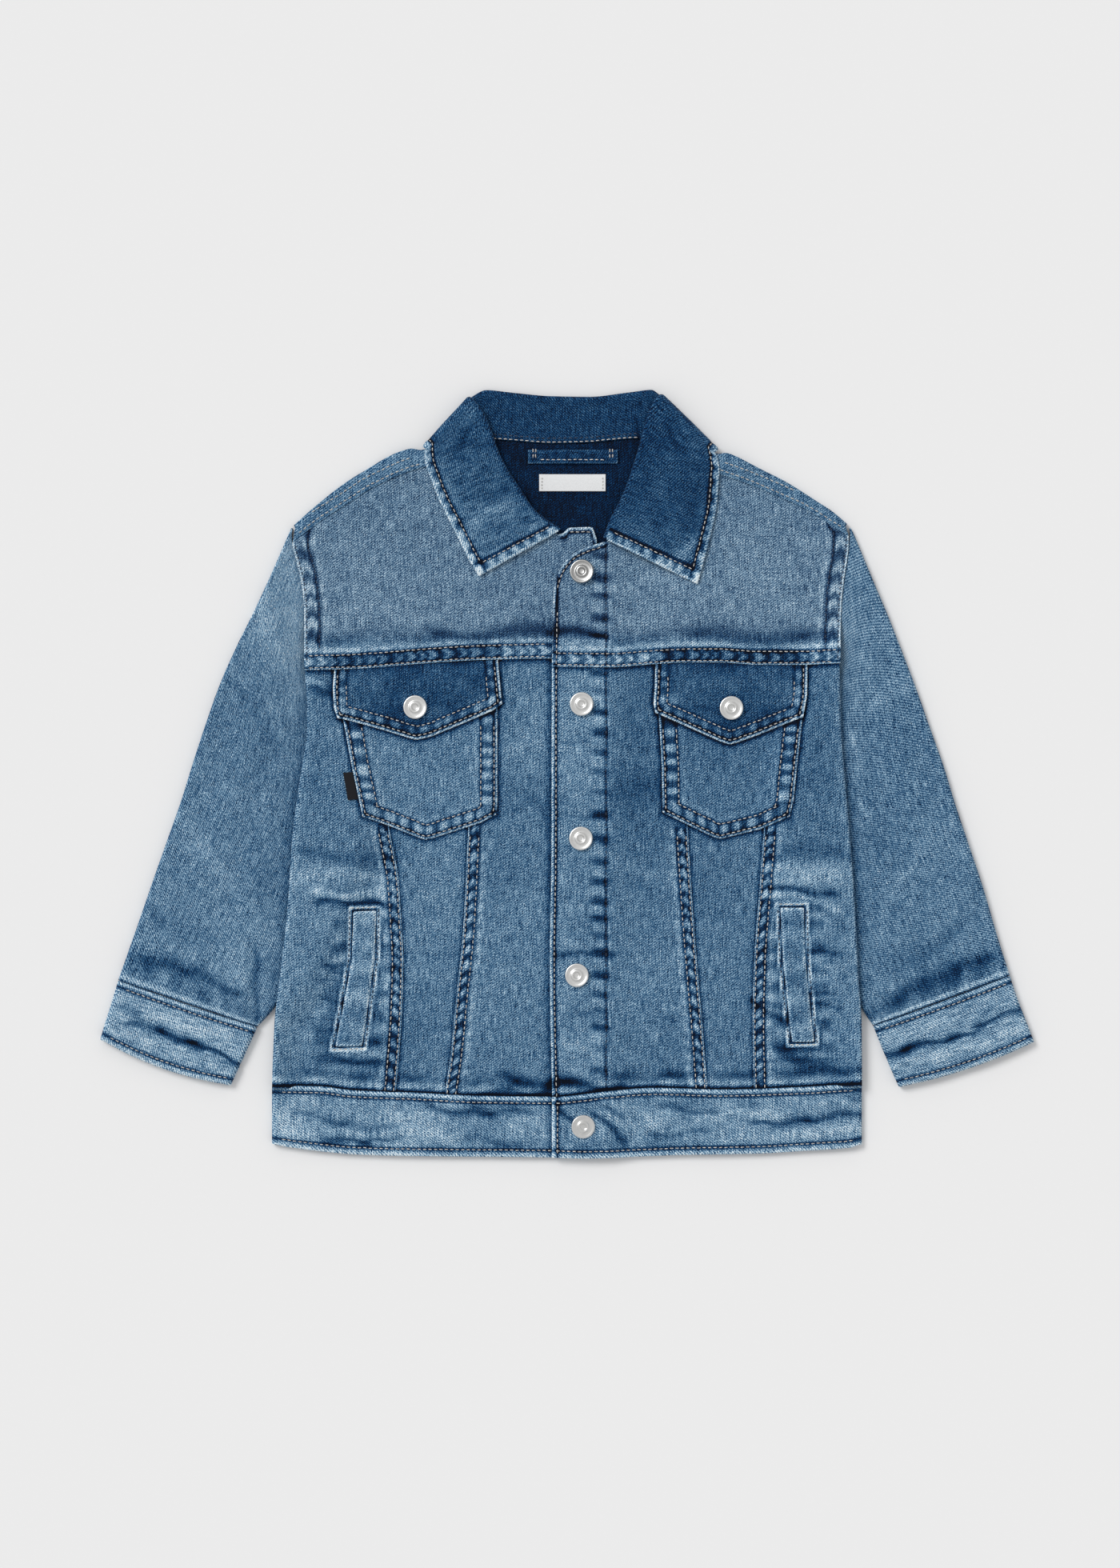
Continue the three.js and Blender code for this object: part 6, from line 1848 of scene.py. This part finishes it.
class JACKET_OT_neck_pieces(bpy.types.Operator):
    """The hanging loop and the bare woven label inside the back of the neck."""
    bl_idname = "jacket.neck_pieces"
    bl_label = "Loop and neck label"

    def execute(self, context):
        left, right, low, high = LOOP_BOX
        panel = outline_panel(box_outline(*LOOP_BOX))

        def loop_top(x, y):
            arch = np.sin(np.pi * np.clip((x - left) / (right - left), 0, 1)) ** 2
            round_off = 0.5 * hill(np.minimum(high - y, y - low), 1.2)
            return back_underside(x, y) + CLOTH + 2.0 + arch - round_off

        x, y = panel_points(panel, even_steps(right - left, 1.0),
                            even_steps(high - low, 0.7, near=(0, 0.3, 0.8)))
        z = loop_top(x, y)
        from_low, from_high = y - low, high - y
        tone = 0.19 + 0.13 * hill(from_low - 0.3, 0.9) + 0.10 * hill(from_high - 0.3, 0.9)
        tone = tone + 0.05 * beads(x, 7, 191) * shelf(from_low, 2.5, 7, 1.0)
        tone = tone + 0.12 * hill(np.minimum(x - left, right - x) - 0.3, 1.0)
        cloth_piece("denim_hanging_loop", "hanging_loop", np.stack([x, y, z - 0.8], -1), tone,
                    flat_weave(y, x), "inside_denim", thickness=1.6, flat=(0.057, 0.010),
                    held="folded", rests_on=("denim_back_yoke",), inside=0.15)
        x = np.linspace(-17, 26, 100)
        sew("pale", x, 0 * x + 196.2, loop_top(x, 0 * x + 196.2))
        for centre in (-20.5, 27.5):
            for shift in (-0.9, 0.0, 0.9):
                y = np.linspace(197, 204.5, 20)
                x = 0 * y + centre + shift
                sew("pale" if shift else "navy", x, y, np.maximum(loop_top(x, np.minimum(y, 202)), 0))
        label_left, label_right = LABEL_BOX[:2]

        def label_top(x, y):
            curl = 0.25 * hill(np.minimum(x - label_left, label_right - x), 3.0)
            return back_underside(x, y) + CLOTH + 1.0 + 0.2 * cloud(x, y, 14, 30) + curl

        colours = context.scene.jacket_colours
        small_panel("woven_neck_label", "neck_label", box_outline(*LABEL_BOX), label_top, 0.9,
                    tape_material("woven_satin_label", colours.label))
        for x0 in (-15.8, 22.2):
            y = np.linspace(177.6, 186.6, 20)
            x = 0 * y + x0
            sew("pale", x, y, label_top(x, y) + CLEAR, step=2.0, length=1.3)
        return {"FINISHED"}


class JACKET_OT_side_tab(bpy.types.Operator):
    """The bare black tab sewn into the left pocket's side."""
    bl_idname = "jacket.side_tab"
    bl_label = "Side tab"

    def execute(self, context):
        def top_at(x, y):
            waves, _ = front_waves(x, y)
            return front_top("left", x, y) + 0.7 * waves + 1.0

        small_panel("woven_side_tab", "side_tab", SIDE_TAB, top_at, 0.7,
                    tape_material("woven_black_tape", context.scene.jacket_colours.tab),
                    step=0.6)
        return {"FINISHED"}


class JACKET_OT_buttons(bpy.types.Operator):
    """Shank buttons turned from a profile: rolled rim, sunken ring and raised middle."""
    bl_idname = "jacket.buttons"
    bl_label = "Buttons"

    def execute(self, context):
        profile = smooth_line([[0, 1.55], [1.2, 1.6], [1.7, 1.75], [2.1, 2.35], [2.8, 2.62], [3.4, 2.45],
                               [3.8, 2.0], [4.3, 1.72], [5.4, 1.78], [6.2, 2.0], [6.8, 2.1], [7.2, 1.95]])
        radius = np.r_[np.linspace(0.05, 7.2, 40), [7.42, 7.5, 7.5, 7.4, 7.0, 5.0, 0.05]]
        height = np.r_[profile(np.linspace(0.05, 7.2, 40)), [1.6, 1.25, 0.85, 0.45, 0.2, 0.1, 0.1]]
        angle = np.arange(48) * 2 * np.pi / 48
        bright = metal_material("satin_nickel", context.scene.jacket_colours.metal, 0.34)
        # Painted shade: the tilted top button gets a darker copy of the same nickel
        shaded_metal = metal_material("shaded_nickel", tuple(0.55 * c for c in context.scene.jacket_colours.metal), 0.3)
        tilts = {"button_top": (0.13, -0.10), "button_waist": (-0.12, 0.10)}
        for node in sorted(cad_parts):
            if not node.startswith("button_"):
                continue
            low, high = (np.array(corner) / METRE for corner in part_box(node))
            centre = (low + high) / 2
            ring = np.stack([radius[:, None] * np.cos(angle), radius[:, None] * np.sin(angle),
                             height[:, None] + 0 * angle], -1)
            tilt = tilts.get(node, (0.02, -0.02))
            ring[..., 2] += tilt[0] * ring[..., 0] + tilt[1] * ring[..., 1]
            points = (ring + [centre[0], centre[1], low[2] - 0.25]).reshape(-1, 3)
            cells = grid_cells(len(radius), 48, tube=True)[:, ::-1]
            cap = [np.arange(48), (len(radius) - 1) * 48 + np.arange(48)[::-1]]
            mesh = bpy.data.meshes.new(f"metal_{node}")
            mesh.from_pydata((points * METRE).tolist(), [], cells.tolist() + [c.tolist() for c in cap],
                             shade_flat=False)
            mesh.materials.append(shaded_metal if node == "button_top" else bright)
            made = bpy.data.objects.new(f"metal_{node}", mesh)
            context.scene.collection.objects.link(made)
            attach(made, "root")
            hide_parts(node)
        return {"FINISHED"}


class JACKET_OT_stitching(bpy.types.Operator):
    """All stitches, as one mesh of small rods for each colour of thread."""
    bl_idname = "jacket.stitching"
    bl_label = "Stitching"

    def execute(self, context):
        stitch_mesh("thread_pale", stitch_rows["pale"], thread_material("ecru_thread", "#DDDAD2", "#97989A"))
        stitch_mesh("thread_navy", stitch_rows["navy"], thread_material("navy_thread", "#46566E", "#0C1830"))
        return {"FINISHED"}


class JACKET_OT_stage(bpy.types.Operator):
    """Pale floor, soft studio light from the upper left, and the camera straight above."""
    bl_idname = "jacket.stage"
    bl_label = "Stage"

    def execute(self, context):
        scene = context.scene
        half = 4.0
        mesh = bpy.data.meshes.new("floor")
        corners = [(x * half, y * half, -0.0001) for x, y in ((-1, -1), (1, -1), (1, 1), (-1, 1))]
        mesh.from_pydata(corners, [], [(0, 1, 2, 3)])
        mesh.materials.append(paper_material(scene.jacket_colours.floor))
        floor = bpy.data.objects.new("floor", mesh)
        scene.collection.objects.link(floor)
        world = bpy.data.worlds.new("studio")
        world.use_nodes = True
        world.node_tree.nodes["Background"].inputs["Color"].default_value = (1, 1, 1, 1)
        world.node_tree.nodes["Background"].inputs["Strength"].default_value = 0.62
        scene.world = world
        lamp = bpy.data.lights.new("softbox", "SUN")
        lamp.angle = 0.45
        lamp.energy = 1.55
        light = bpy.data.objects.new("softbox", lamp)
        light.rotation_euler = (Vector((0.75, -0.62, -1.0))).to_track_quat("-Z", "Y").to_euler()
        scene.collection.objects.link(light)
        camera = bpy.data.cameras.new("camera")
        camera.lens = 85
        camera.sensor_width = 36
        seen = 0.980
        cloth_height = 0.006
        eye = bpy.data.objects.new("camera", camera)
        eye.location = (-0.0045, -0.0065, seen * camera.lens / camera.sensor_width + cloth_height)
        eye.rotation_euler = (0, 0, 0)
        camera.clip_start, camera.clip_end = 0.05, 50
        scene.collection.objects.link(eye)
        scene.camera = eye
        scene.view_settings.view_transform = "Standard"
        return {"FINISHED"}


class JACKET_PT_panel(bpy.types.Panel):
    """Lists the pieces of the jacket."""
    bl_label = "Denim jacket"
    bl_idname = "JACKET_PT_panel"
    bl_space_type = "VIEW_3D"
    bl_region_type = "UI"
    bl_category = "Jacket"

    def draw(self, context):
        for group in (context.scene.jacket_sizes, context.scene.jacket_colours):
            for name in group.__annotations__:
                self.layout.prop(group, name)
        for operator in OPERATORS:
            self.layout.operator(operator.bl_idname)


OPERATORS = (JACKET_OT_back, JACKET_OT_sleeves, JACKET_OT_cuffs, JACKET_OT_front_panels, JACKET_OT_yokes,
             JACKET_OT_pockets, JACKET_OT_flaps, JACKET_OT_welts, JACKET_OT_waistband, JACKET_OT_collar,
             JACKET_OT_neck_pieces, JACKET_OT_side_tab, JACKET_OT_buttons, JACKET_OT_stitching,
             JACKET_OT_stage)
CLASSES = (JacketSizes, JacketColours, *OPERATORS, JACKET_PT_panel)


def register():
    for item in CLASSES:
        bpy.utils.register_class(item)
    bpy.types.Scene.jacket_sizes = PointerProperty(type=JacketSizes)
    bpy.types.Scene.jacket_colours = PointerProperty(type=JacketColours)


def unregister():
    del bpy.types.Scene.jacket_sizes
    del bpy.types.Scene.jacket_colours
    for item in reversed(CLASSES):
        bpy.utils.unregister_class(item)


def main():
    register()
    for operator in OPERATORS:
        group, name = operator.bl_idname.split(".")
        getattr(getattr(bpy.ops, group), name)()


if __name__ == "__main__":
    main()
